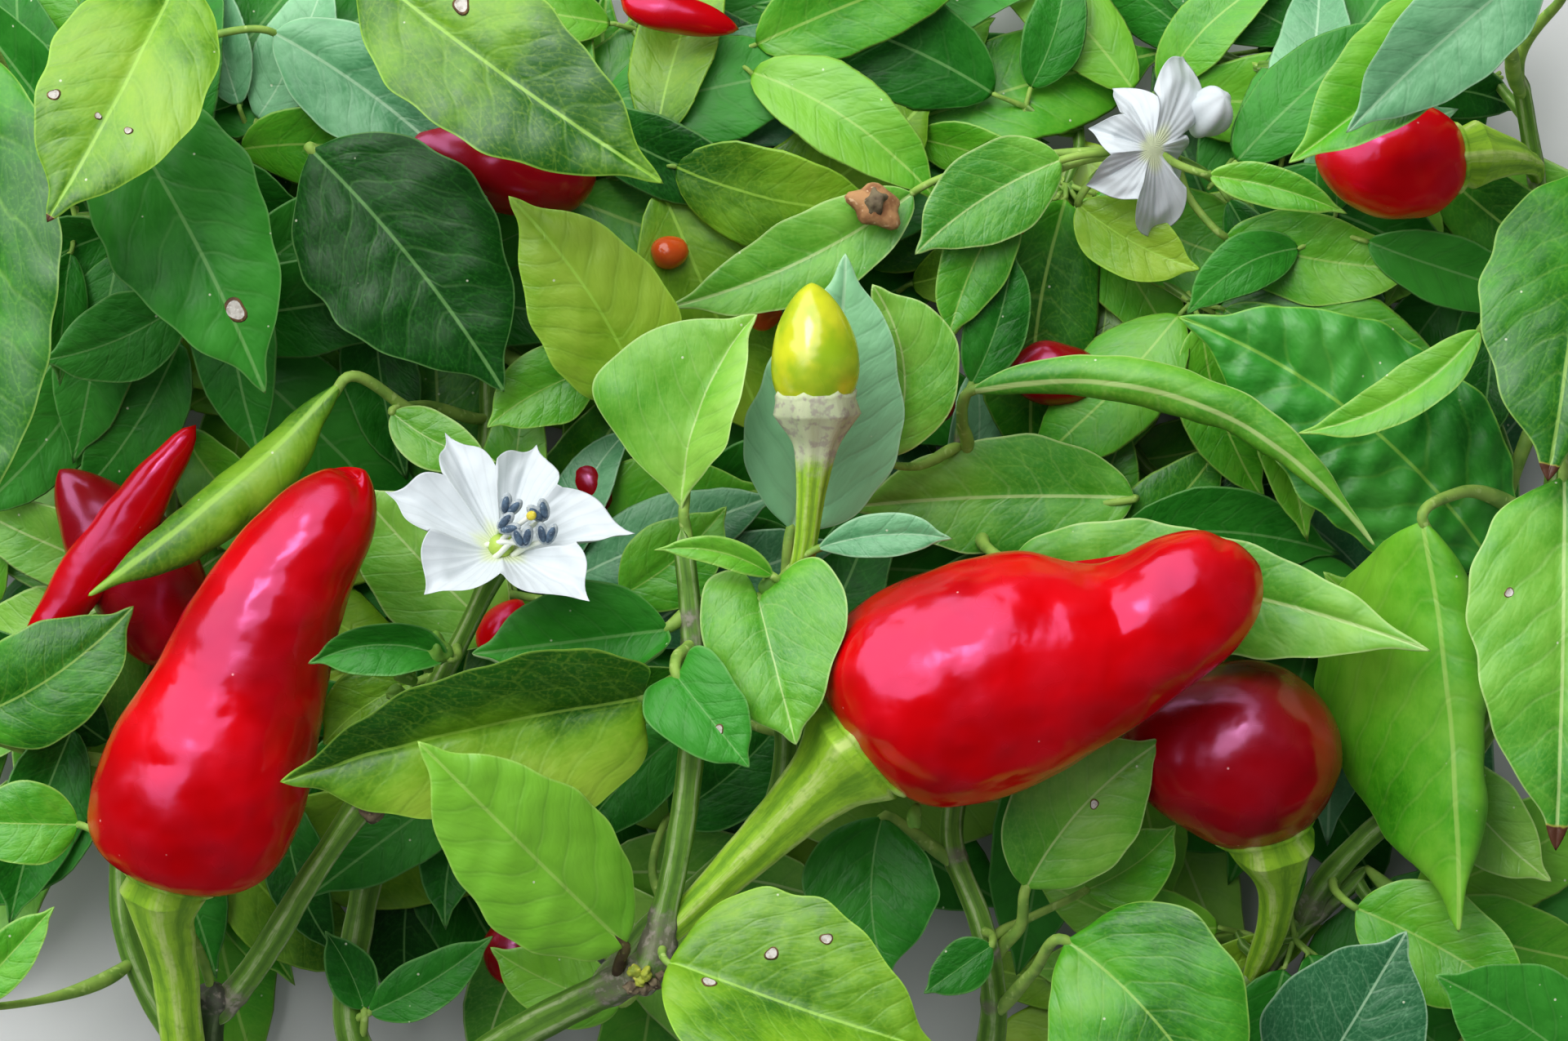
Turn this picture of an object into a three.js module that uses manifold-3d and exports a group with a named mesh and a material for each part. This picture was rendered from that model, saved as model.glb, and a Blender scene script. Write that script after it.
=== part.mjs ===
// A fruiting branch of a chilli pepper plant, cut from the bush and lying on a flat surface.
// Millimetres, +Z up. X runs across the branch and Y from the cut end towards the shoot tips.
// The branch is laid out on a plan first, and the whole group is then moved so that its origin is the
// middle of the underside of its box.

import * as THREE from "three";
import { mergeVertices } from "three/addons/utils/BufferGeometryUtils.js";
import Module from "manifold-3d";

const wasm = await Module();
wasm.setup();

// Driving dimensions
const GAP = 0.3; // between two pieces that touch
const POCKET_GAP = 0.5; // round a limb or fruit in a hollow of a mass
const LIMB_SIDES = 7;
const FRUIT_SIDES = 14;
const BLADE_STATIONS = [0.03, 0.11, 0.24, 0.4, 0.58, 0.76, 0.91];
const SMALL_BLADE_STATIONS = [0.04, 0.2, 0.42, 0.66, 0.88];
const BLADE_THICKNESS = 0.5;
const PETIOLE_HALF_WIDTH = 0.6;
const PETIOLE_DEPTH = 0.75; // below its flat upper side
const PETAL_THICKNESS = 0.5;
const FLOWER_BACK = 0.8; // thickness of the corolla at its throat
const MASS_DETAIL = 2;
const PLAN_HEIGHT = 45; // x and y on the plan are as seen, from the eye, at this height
const EYE_HEIGHT = 729; // above the surface that the branch lies on

const COLOURS = {
  stem: 0x6f8f3a,
  stalk: 0x86a83c,
  fruit: 0xcf0f12,
  dark_fruit: 0x86060c,
  young_fruit: 0xd2cf1c,
  leaf: 0x4c9a2f,
  petal: 0xf2f3ee,
  anther: 0x5b6f80,
};

const degrees = THREE.MathUtils.degToRad;
const plan = new THREE.Group();

// A point that is seen at x, y on the plan and lies at height z.
function at([x, y, z]) {
  const spread = (EYE_HEIGHT - z) / (EYE_HEIGHT - PLAN_HEIGHT);
  return new THREE.Vector3(x * spread, y * spread, z);
}

const smooth = (points) => new THREE.CatmullRomCurve3(points, false, "centripetal");

// Piecewise linear value of a list of [position, value] pairs.
function along(pairs, t) {
  const next = pairs.findIndex(([position]) => position >= t);
  if (next < 0) return pairs[pairs.length - 1][1];
  if (next === 0) return pairs[0][1];
  const [t0, v0] = pairs[next - 1];
  const [t1, v1] = pairs[next];
  return v0 + ((v1 - v0) * (t - t0)) / (t1 - t0);
}

// A closed solid through rings of equally many points, with a single point at each end.
function loft(first, rings, last) {
  const sides = rings[0].length;
  const points = [first, ...rings.flat(), last];
  const index = [];
  const ringPoint = (ring, side) => 1 + ring * sides + (side % sides);
  for (let side = 0; side < sides; side++) {
    index.push(0, ringPoint(0, side + 1), ringPoint(0, side));
    for (let ring = 0; ring < rings.length - 1; ring++) {
      const near = [ringPoint(ring, side), ringPoint(ring, side + 1)];
      const far = [ringPoint(ring + 1, side), ringPoint(ring + 1, side + 1)];
      index.push(near[0], near[1], far[1], near[0], far[1], far[0]);
    }
    const end = rings.length - 1;
    index.push(points.length - 1, ringPoint(end, side), ringPoint(end, side + 1));
  }
  const geometry = new THREE.BufferGeometry().setFromPoints(points);
  geometry.setIndex(signedVolume(points, index) < 0 ? index.reverse() : index);
  geometry.computeVertexNormals();
  return geometry;
}

function signedVolume(points, index) {
  let volume = 0;
  for (let i = 0; i < index.length; i += 3) {
    const [a, b, c] = [points[index[i]], points[index[i + 1]], points[index[i + 2]]];
    volume += a.dot(b.clone().cross(c)) / 6;
  }
  return volume;
}

function addMesh(name, geometry, colour, roughness) {
  const material = new THREE.MeshStandardMaterial({ color: COLOURS[colour], roughness, metalness: 0 });
  const mesh = new THREE.Mesh(geometry, material);
  mesh.name = name;
  plan.add(mesh);
}

// Round rings across a curve. radiusAt takes the share of the length and the angle round the curve.
function roundRings(curve, stations, sides, radiusAt) {
  const steps = 80;
  const frames = curve.computeFrenetFrames(steps, false);
  return stations.map((t) => {
    const frame = Math.round(t * steps);
    return Array.from({ length: sides }, (_, side) => {
      const angle = (2 * Math.PI * side) / sides;
      const radius = radiusAt(t, angle);
      return curve
        .getPointAt(t)
        .addScaledVector(frames.normals[frame], radius * Math.cos(angle))
        .addScaledVector(frames.binormals[frame], radius * Math.sin(angle));
    });
  });
}

const evenly = (count) => Array.from({ length: count + 1 }, (_, i) => i / count);

// Limbs. Each one's curve and radii are kept, so that others can be seated on it.
const limbs = new Map();

function limbGeometry({ curve, radii, stations }, grow = 0) {
  const rings = roundRings(curve, stations, LIMB_SIDES, (t) => along(radii, t) + grow);
  const first = curve.getPointAt(0).addScaledVector(curve.getTangentAt(0), -grow);
  const last = curve.getPointAt(1).addScaledVector(curve.getTangentAt(1), grow);
  rings[0].forEach((point) => point.addScaledVector(curve.getTangentAt(0), -grow));
  rings[rings.length - 1].forEach((point) => point.addScaledVector(curve.getTangentAt(1), grow));
  return loft(first, rings, last);
}

function limb(name, points, radii, { rows = 6, colour = "stem" } = {}) {
  const stations = rows ? evenly(rows) : radii.map(([share]) => share);
  const made = { curve: smooth(points), radii, stations };
  limbs.set(name, made);
  addMesh(name, limbGeometry(made), colour, 0.6);
}

// The point a gap off a limb's surface, on the side of a target, and the way out there. The limb is
// straight between two stations.
function seat(limbName, share, target) {
  const { curve, radii, stations } = limbs.get(limbName);
  const next = Math.max(1, stations.findIndex((station) => station >= share));
  const [from, to] = [stations[next - 1], stations[next]];
  const start = curve.getPointAt(from);
  const tangent = curve.getPointAt(to).sub(start);
  const centre = start.addScaledVector(tangent, (share - from) / (to - from));
  tangent.normalize();
  const way = target.clone().sub(centre);
  way.addScaledVector(tangent, -way.dot(tangent)).normalize();
  return { point: centre.addScaledVector(way, along(radii, share) + GAP), way };
}

// A limb that goes on from another one's end.
function nextLimb(name, parent, points, radii, options) {
  const { curve } = limbs.get(parent);
  const tangent = curve.getTangentAt(1);
  const start = curve.getPointAt(1).addScaledVector(tangent, GAP);
  const bend = start.clone().addScaledVector(tangent, radii[0][1]);
  limb(name, [start, bend, ...points], radii, options);
}

// A limb that leaves another one's side, square to it at first.
function sideLimb(name, parent, share, points, radii, options) {
  const { point, way } = seat(parent, share, points[0]);
  const bend = point.clone().addScaledVector(way, radii[0][1] * 1.8);
  limb(name, [point, bend, ...points], radii, options);
}

// Leaves. base and tip are the ends of the midrib, and the petiole runs from the limb to the base.
// arch lifts the middle of the midrib and sweep moves it to the right. fold lifts both halves of the
// blade from the midrib, curl bends them further, roll turns the blade's right half down, twist does so
// towards the tip, and lobe draws the blade back past the base on both sides.
function leafFrame(leaf) {
  const base = at(leaf.base);
  const tip = at(leaf.tip);
  const chord = tip.clone().sub(base);
  const length = chord.length();
  chord.normalize();
  const up = new THREE.Vector3(0, 0, 1);
  up.addScaledVector(chord, -up.dot(chord)).normalize();
  const right = chord.clone().cross(up);
  const { arch = 0, sweep = 0 } = leaf;
  const spine = (u) =>
    base
      .clone()
      .addScaledVector(chord, length * u)
      .addScaledVector(up, 4 * u * (1 - u) * arch)
      .addScaledVector(right, 4 * u * (1 - u) * sweep);
  const forward = (u) =>
    chord
      .clone()
      .multiplyScalar(length)
      .addScaledVector(up, 4 * (1 - 2 * u) * arch)
      .addScaledVector(right, 4 * (1 - 2 * u) * sweep)
      .normalize();
  return { base, tip, chord, up, spine, forward };
}

// Half the width of a blade at a share u of its length, widest at leaf.belly.
function halfWidth(leaf, u) {
  const skew = Math.log(0.5) / Math.log(leaf.belly ?? 0.4);
  return (leaf.width / 2) * Math.pow(Math.sin(Math.PI * Math.pow(u, skew)), leaf.fullness ?? 0.8);
}

// How far out and up a blade's section reaches at v, from -1 at its left margin to 1 at its right.
function across({ fold = 12, curl = 0 }, half, v) {
  const inner = degrees(fold + curl * 0.25);
  const outer = degrees(fold + curl * 0.75);
  const first = Math.min(1, Math.abs(v) * 2) * (half / 2);
  const second = Math.max(0, Math.abs(v) * 2 - 1) * (half / 2);
  return {
    out: Math.sign(v) * (first * Math.cos(inner) + second * Math.cos(outer)),
    rise: first * Math.sin(inner) + second * Math.sin(outer),
  };
}

// A ring round the leaf: right margin, upper side, left margin, under side. The upper side is nearly
// flush with the middle of the leaf, and the midrib stands out below.
const RING = [[1, 0], [0.5, 1], [0, 1], [-0.5, 1], [-1, 0], [-0.5, -1], [0, -1], [0.5, -1]];
const SMALL_RING = [[1, 0], [0, 1], [-1, 0], [0, -1]];

function ringPoint([v, side], { centre, forward, normal, half, thickness, section, grow }) {
  const sideways = forward.clone().cross(normal);
  const inner = 1 - Math.abs(v);
  const above = thickness * 0.35 + grow;
  const below = thickness * (0.35 + 0.6 * inner) + grow;
  const { out, rise } = section(half, v);
  return centre
    .clone()
    .addScaledVector(sideways, out + Math.sign(v) * grow)
    .addScaledVector(normal, rise + (side > 0 ? above : side < 0 ? -below : 0));
}

function leafGeometry(leaf, grow = 0) {
  const small = leaf.small ?? false;
  const ring = small ? SMALL_RING : RING;
  const stations = small ? SMALL_BLADE_STATIONS : BLADE_STATIONS;
  const { base, tip, up, spine, forward } = leafFrame(leaf);
  const { point: foot, way } = seat(leaf.on, leaf.share, base);
  const reach = foot.distanceTo(base);
  const petiole = new THREE.CubicBezierCurve3(
    foot,
    foot.clone().addScaledVector(way, reach * 0.4),
    base.clone().addScaledVector(forward(0), -reach * 0.4),
    base,
  );
  const normalTo = (direction, turn) => {
    const normal = up.clone().addScaledVector(direction, -up.dot(direction)).normalize();
    return normal.applyAxisAngle(direction, degrees(turn));
  };
  const { roll = 0, twist = 0 } = leaf;
  const petioleSection = (half, v) => ({ out: v * half, rise: 0 });
  const rings = [0, 0.5, 0.97].map((share) => {
    const direction = petiole.getTangent(share);
    return ring.map((place) =>
      ringPoint(place, {
        centre: petiole.getPoint(share),
        forward: direction,
        normal: normalTo(direction, (roll - twist / 2) * share),
        half: PETIOLE_HALF_WIDTH * (1 + 0.3 * (1 - share)),
        thickness: PETIOLE_DEPTH * (1 + 0.3 * (1 - share)),
        section: petioleSection,
        grow,
      }),
    );
  });
  stations.forEach((u) => {
    const direction = forward(u);
    const half = halfWidth(leaf, u);
    const back = (v) => (leaf.lobe ?? 0) * Math.pow(Math.abs(v), 1.5) * Math.pow(1 - u, 4);
    rings.push(
      ring.map((place) =>
        ringPoint(place, {
          centre: spine(u),
          forward: direction,
          normal: normalTo(direction, roll + twist * (u - 0.5)),
          half,
          thickness: BLADE_THICKNESS,
          section: (width, v) => across(leaf, width, v),
          grow,
        }).addScaledVector(direction, -back(place[0])),
      ),
    );
  });
  const last = tip.clone().addScaledVector(forward(1), grow);
  return loft(petiole.getPoint(0).addScaledVector(way, -grow), rings, last);
}

function addLeaf(leaf) {
  addMesh(leaf.name, leafGeometry(leaf), "leaf", 0.45);
}

// Fruits. The spine runs from the shoulder, where the calyx sits, to the tip.
// dents are broad hollows, each at a share of the length and an angle round the spine.
function fruitGeometry(fruit, grow = 0) {
  const { sides = FRUIT_SIDES } = fruit;
  const stations = fruit.radii.map(([share]) => share).slice(1, -1);
  const curve = smooth(fruit.spine.map(at));
  const radiusAt = (t, angle) => {
    const dents = fruit.dents ?? [];
    const pressed = dents.reduce((sum, dent) => {
      const turn = angle - degrees(dent.angle);
      const away = Math.hypot((t - dent.share) / dent.spread, Math.atan2(Math.sin(turn), Math.cos(turn)));
      return sum + dent.depth * Math.exp(-away * away);
    }, 0);
    return along(fruit.radii, t) - pressed + grow;
  };
  const rings = roundRings(curve, stations, sides, radiusAt);
  const first = curve.getPointAt(0).addScaledVector(curve.getTangentAt(0), -grow);
  return loft(first, rings, curve.getPointAt(1).addScaledVector(curve.getTangentAt(1), grow));
}

// A stalk from a limb to a fruit's shoulder, widening into the calyx.
function addStalk(name, { parent, share, points, fruit, radii }) {
  const curve = smooth(fruit.spine.map(at));
  const inward = curve.getTangentAt(0);
  const end = curve.getPointAt(0).addScaledVector(inward, -GAP);
  const before = end.clone().addScaledVector(inward, -2.6);
  sideLimb(name, parent, share, [...points.map(at), before, end], radii, { rows: 0, colour: "stalk" });
}

// Flowers. The corolla is a shallow cup with one pointed lobe for each of the petals.
function flowerFrame(flower) {
  const axis = new THREE.Vector3(...flower.axis).normalize();
  const across = new THREE.Vector3(1, 0, 0);
  across.addScaledVector(axis, -across.dot(axis)).normalize();
  return { throat: at(flower.throat), axis, across, away: axis.clone().cross(across) };
}

function flowerPoint(flower, { angle, reach, height }) {
  const { throat, axis, across, away } = flowerFrame(flower);
  return throat
    .addScaledVector(across, reach * Math.cos(angle))
    .addScaledVector(away, reach * Math.sin(angle))
    .addScaledVector(axis, height);
}

function corollaGeometry(flower) {
  const { petals, depth } = flower;
  const rim = petals.flatMap((petal, i) => {
    const next = petals[(i + 1) % petals.length];
    const turn = ((next.angle - petal.angle + 360) % 360) / 4;
    const notch = Math.min(petal.reach, next.reach) * flower.notch;
    const shoulder = (reach) => THREE.MathUtils.lerp(reach, notch, 0.62);
    return [
      { angle: petal.angle, reach: petal.reach },
      { angle: petal.angle + turn, reach: shoulder(petal.reach) },
      { angle: petal.angle + 2 * turn, reach: notch },
      { angle: petal.angle + 3 * turn, reach: shoulder(next.reach) },
    ];
  });
  const widest = Math.max(...petals.map((petal) => petal.reach));
  const ringAt = (share, drop) =>
    rim.map(({ angle, reach }) => {
      const out = reach * share;
      const height = depth * Math.pow(out / widest, 1.2) - drop;
      return flowerPoint(flower, { angle: degrees(angle), reach: out, height });
    });
  const rings = [
    ringAt(0.2, 0),
    ringAt(0.6, 0),
    ringAt(1, PETAL_THICKNESS / 2),
    ringAt(0.58, PETAL_THICKNESS),
    ringAt(0.2, FLOWER_BACK),
  ];
  const onAxis = (height) => flowerPoint(flower, { angle: 0, reach: 0, height });
  return loft(onAxis(0), rings, onAxis(-FLOWER_BACK));
}

function heartGeometry(flower) {
  const outline = [[0.6, 0.9], [1.8, 1.6], [3.2, 2.6], [4.6, 2.4], [5.2, 1.2]];
  const rings = outline.map(([height, reach]) =>
    Array.from({ length: 12 }, (_, i) => {
      const bump = height > 2 && i % 2 ? 0.7 : 1;
      return flowerPoint(flower, { angle: (i * Math.PI) / 6, reach: reach * bump, height });
    }),
  );
  const end = (height) => flowerPoint(flower, { angle: 0, reach: 0, height });
  return loft(end(0.6), rings, end(5.4));
}

// Masses of small leaves: uneven lumps with a flat underside, cut round the limbs that cross them.
function solidOf(geometry) {
  const bare = new THREE.BufferGeometry().setAttribute("position", geometry.getAttribute("position"));
  bare.setIndex(geometry.index);
  const merged = mergeVertices(bare, 1e-3);
  return new wasm.Manifold(
    new wasm.Mesh({
      numProp: 3,
      vertProperties: merged.getAttribute("position").array,
      triVerts: new Uint32Array(merged.index.array),
    }),
  );
}

function geometryOf(solid) {
  const { vertProperties, triVerts } = solid.getMesh();
  const geometry = new THREE.BufferGeometry();
  geometry.setAttribute("position", new THREE.BufferAttribute(new Float32Array(vertProperties), 3));
  geometry.setIndex([...triVerts]);
  geometry.computeVertexNormals();
  return geometry;
}

function massGeometry({ centre, size, seed }) {
  const ball = mergeVertices(
    new THREE.IcosahedronGeometry(1, MASS_DETAIL).deleteAttribute("normal").deleteAttribute("uv"),
  );
  const position = ball.getAttribute("position");
  const middle = at(centre);
  for (let i = 0; i < position.count; i++) {
    const way = new THREE.Vector3().fromBufferAttribute(position, i);
    const turn = Math.atan2(way.y, way.x);
    const lumps =
      0.1 * Math.sin(3 * turn + seed) +
      0.07 * Math.sin(5 * turn + 2.1 * seed) +
      0.09 * Math.sin(4 * way.z + 3 * way.x + seed) * Math.cos(5 * way.y - seed);
    way.multiplyScalar(1 + lumps);
    position.setXYZ(i, middle.x + way.x * size[0], middle.y + way.y * size[1], middle.z + way.z * size[2]);
  }
  let solid = solidOf(ball).trimByPlane([0, 0, 1], 0);
  const crossing = [...limbs.values()].map((made) => limbGeometry(made, POCKET_GAP));
  crossing.push(...FRUITS.filter((fruit) => fruit.buried).map((fruit) => fruitGeometry(fruit, POCKET_GAP)));
  for (const pocket of crossing.map(solidOf)) {
    if (solid.intersect(pocket).volume() > 0) solid = solid.subtract(pocket);
  }
  return solid.decompose().sort((a, b) => b.volume() - a.volume())[0];
}

function addMass(mass) {
  addMesh(mass.name, geometryOf(massGeometry(mass)), "leaf", 0.6);
}

// Flowers. axis points out of the cup, and depth is how far the petals' tips stand above the throat.
const flower = {
  throat: [-27.7, -2.8, 42],
  axis: [0.04, 0.6, 0.8],
  depth: 5.4,
  notch: 0.62,
  petals: [
    { angle: -4, reach: 13.2 },
    { angle: 74, reach: 10.6 },
    { angle: 119, reach: 12.2 },
    { angle: 163, reach: 12 },
    { angle: 232, reach: 11.6 },
    { angle: 314, reach: 13.2 },
  ],
};
const farFlower = {
  throat: [36.2, 36.4, 23],
  axis: [0.4, -0.05, 0.9],
  depth: -2,
  notch: 0.5,
  petals: [
    { angle: 50, reach: 12 },
    { angle: 104, reach: 6.4 },
    { angle: 160, reach: 5.6 },
    { angle: 214, reach: 6.4 },
    { angle: 282, reach: 9.4 },
    { angle: 346, reach: 5.6 },
  ],
};
const behindFlower = (one, away) => flowerPoint(one, { angle: 0, reach: 0, height: -FLOWER_BACK - away });
addMesh("flower", corollaGeometry(flower), "petal", 0.6);
addMesh("flower_heart", heartGeometry(flower), "anther", 0.6);
addMesh("far_flower", corollaGeometry(farFlower), "petal", 0.6);

// Fruits. buried ones lie in a hollow of a mass.
const leftFruit = {
  name: "left_fruit",
  colour: "fruit",
  spine: [
    [-60.6, -35.8, 35],
    [-58.6, -29.4, 36],
    [-55, -21.5, 37],
    [-51.4, -10.8, 37.6],
    [-46, -1.6, 38],
    [-41, 4.9, 38.4],
  ],
  radii: [
    [0, 0], [0.035, 7.8], [0.08, 9.7], [0.16, 10.6], [0.34, 10], [0.46, 8.6],
    [0.6, 7.5], [0.76, 6.5], [0.89, 5], [0.965, 2.9], [1, 0],
  ],
  dents: [{ share: 0.5, angle: 0, depth: 0.5, spread: 0.1 }],
};
const rightFruit = {
  name: "right_fruit",
  colour: "fruit",
  spine: [
    [7.2, -22.5, 37],
    [15, -16.7, 37.6],
    [22.6, -14.5, 38],
    [29.6, -12.4, 38.4],
    [36.2, -9.8, 38.6],
    [41.2, -7.1, 38.6],
    [46.6, -4.4, 38.4],
  ],
  radii: [
    [0, 0], [0.03, 8.2], [0.09, 10.9], [0.2, 12], [0.38, 11.9], [0.56, 9.7],
    [0.73, 7.6], [0.86, 6.7], [0.94, 5], [0.98, 2.8], [1, 0],
  ],
};
const youngFruit = {
  name: "young_fruit",
  colour: "young_fruit",
  sides: 12,
  spine: [[3.1, 10.8, 41], [3, 16.8, 41.6], [2.7, 23.3, 42]],
  radii: [[0, 0], [0.05, 3.1], [0.18, 4.1], [0.38, 4.4], [0.62, 3.8], [0.82, 2.6], [0.94, 1.4], [1, 0]],
};
const darkFruit = {
  name: "dark_fruit",
  colour: "dark_fruit",
  spine: [[47.8, -31.4, 22], [44.4, -21.8, 23.4], [38.4, -19.4, 24.4], [32.4, -22, 24.4]],
  radii: [[0, 0], [0.05, 7.8], [0.18, 10.1], [0.4, 10.2], [0.62, 7.8], [0.8, 5], [0.94, 2.4], [1, 0]],
};
const farFruit = {
  name: "far_fruit",
  colour: "fruit",
  sides: 12,
  spine: [[67, 35.8, 25.4], [59.6, 35.2, 25.6], [52, 35.6, 26]],
  radii: [[0, 0], [0.08, 4.6], [0.3, 6.2], [0.6, 6], [0.84, 4.2], [0.96, 2], [1, 0]],
};
const hiddenLeftFruit = {
  name: "hidden_left_fruit",
  colour: "dark_fruit",
  sides: 10,
  buried: true,
  spine: [[-57.6, -14, 15], [-64, -4, 16], [-71, 5, 18]],
  radii: [[0, 0], [0.08, 4.6], [0.3, 6.2], [0.6, 5.6], [0.85, 3.4], [0.96, 1.6], [1, 0]],
};
const hiddenTopFruit = {
  name: "hidden_top_fruit",
  colour: "dark_fruit",
  sides: 10,
  buried: true,
  spine: [[-18.4, 33.4, 19], [-26, 34.6, 19.6], [-37, 37, 22]],
  radii: [[0, 0], [0.08, 4], [0.3, 5.2], [0.6, 4.6], [0.85, 3], [0.96, 1.4], [1, 0]],
};
const FRUITS = [leftFruit, rightFruit, youngFruit, darkFruit, farFruit, hiddenLeftFruit, hiddenTopFruit];
FRUITS.forEach((fruit) => addMesh(fruit.name, fruitGeometry(fruit), fruit.colour, 0.2));

// Limbs from the cut end outwards
limb("main_stem", [[-29, -84, 3.2], [-33, -74, 4.2], [-37, -64, 8]].map(at), [[0, 3.1], [1, 2.6]], {
  rows: 4,
});
nextLimb(
  "centre_bough",
  "main_stem",
  [[-34, -56.5, 16], [-27, -51, 24], [-19.6, -47, 30], [-13.8, -44.2, 34.4]].map(at),
  [[0, 2.4], [0.3, 2], [0.9, 1.7], [1, 1.7]],
);
nextLimb(
  "centre_stem",
  "centre_bough",
  [[-11.6, -38, 36], [-9.8, -29, 37], [-8.8, -18, 37.4], [-9, -11, 37], [-10, -1, 36]].map(at),
  [[0, 1.7], [0.1, 1.4], [0.5, 1.3], [1, 1]],
);
sideLimb(
  "left_bough",
  "main_stem",
  0.88,
  [[-48, -61.5, 12], [-56, -55, 18], [-55.8, -45.5, 25]].map(at),
  [[0, 2.2], [0.5, 1.8], [0.92, 1.5], [1, 1.7]],
);
sideLimb(
  "flower_stem",
  "left_bough",
  0.96,
  [
    ...[[-48, -36.2, 29.5], [-41.2, -28.2, 33], [-36, -20, 34], [-32.6, -13.6, 36]].map(at),
    behindFlower(flower, 2.4),
    behindFlower(flower, GAP),
  ],
  [[0, 1.4], [0.44, 1.25], [0.5, 1.6], [0.56, 1.2], [0.92, 0.95], [1, 1.6]],
  { rows: 10 },
);
sideLimb(
  "young_fruit_stem",
  "centre_bough",
  0.9,
  [[-8.5, -36, 30], [-0.5, -27, 27], [-0.4, -14, 31], [-0.8, -6.4, 34.5]].map(at),
  [[0, 1.3], [0.6, 1.15], [1, 1.25]],
  { rows: 8 },
);
sideLimb(
  "right_bough",
  "main_stem",
  0.84,
  [[-18, -63, 9], [2, -61, 11], [25.8, -52.6, 13], [40, -50, 10], [48, -42, 10], [57, -34, 11]].map(at),
  [[0, 2.2], [0.5, 1.7], [1, 1.2]],
  { rows: 10 },
);
sideLimb(
  "low_twig",
  "right_bough",
  0.56,
  [[21, -41.6, 22], [16.4, -35.8, 23], [17, -28.5, 20], [19, -8, 12], [17.2, 10, 18]].map(at),
  [[0, 1.3], [0.5, 1.1], [1, 0.8]],
  { rows: 8 },
);
sideLimb(
  "upper_right_bough",
  "right_bough",
  0.94,
  [[68, -22, 14], [74.4, -4, 16], [76, 14, 14], [74.4, 29, 8], [72, 44, 17]].map(at),
  [[0, 1.3], [0.5, 1.15], [1, 0.9]],
  { rows: 9 },
);
sideLimb(
  "back_bough",
  "centre_bough",
  0.16,
  [
    ...[[-42.4, -50, 13], [-40.5, -34, 13], [-33.6, -14, 14]].map(at),
    ...[[-29, 6, 13], [-29.6, 25, 10], [-35, 46, 18]].map(at),
  ],
  [[0, 1.7], [0.5, 1.3], [1, 0.9]],
  { rows: 10 },
);
sideLimb(
  "upper_left_bough",
  "left_bough",
  0.5,
  [[-63, -46, 13], [-64, -26, 9], [-60, -4, 8], [-62, 20, 11], [-64, 44, 24]].map(at),
  [[0, 1.5], [0.5, 1.2], [1, 0.9]],
  { rows: 9 },
);
limb(
  "far_flower_stalk",
  [at([38, 34, 11]), at([38, 35.6, 15]), behindFlower(farFlower, 2), behindFlower(farFlower, GAP)],
  [[0, 0.9], [0.7, 0.8], [1, 1.3]],
  { rows: 5, colour: "stalk" },
);

// Stalks, each widening into a calyx
addStalk("left_stalk", {
  parent: "left_bough",
  share: 0.72,
  points: [[-59, -47, 27], [-59.4, -42, 30]],
  fruit: leftFruit,
  radii: [[0, 1.9], [0.2, 2.1], [0.45, 2.2], [0.66, 2.3], [0.8, 2.8], [0.92, 3.9], [1, 4.4]],
});
addStalk("right_stalk", {
  parent: "centre_stem",
  share: 0.13,
  points: [[-6.6, -36, 34.6], [-1, -30, 35]],
  fruit: rightFruit,
  radii: [[0, 1.5], [0.16, 1.8], [0.36, 2.2], [0.58, 2.6], [0.78, 3.5], [0.92, 5.4], [1, 6.2]],
});
addStalk("young_stalk", {
  parent: "young_fruit_stem",
  share: 0.97,
  points: [[1.8, -3, 38.6], [2.4, 1.4, 39.6]],
  fruit: youngFruit,
  radii: [[0, 1.2], [0.2, 1.15], [0.5, 1.2], [0.7, 1.5], [0.78, 1.9], [0.86, 2.9], [0.95, 3.9], [1, 4.2]],
});
addStalk("dark_stalk", {
  parent: "right_bough",
  share: 0.86,
  points: [[50, -37, 18]],
  fruit: darkFruit,
  radii: [[0, 1.3], [0.4, 1.6], [0.75, 2.4], [1, 4.4]],
});
addStalk("far_stalk", {
  parent: "upper_right_bough",
  share: 0.88,
  points: [[73.4, 35.8, 22]],
  fruit: farFruit,
  radii: [[0, 0.9], [0.5, 1.3], [0.8, 2.6], [1, 3.4]],
});

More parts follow.
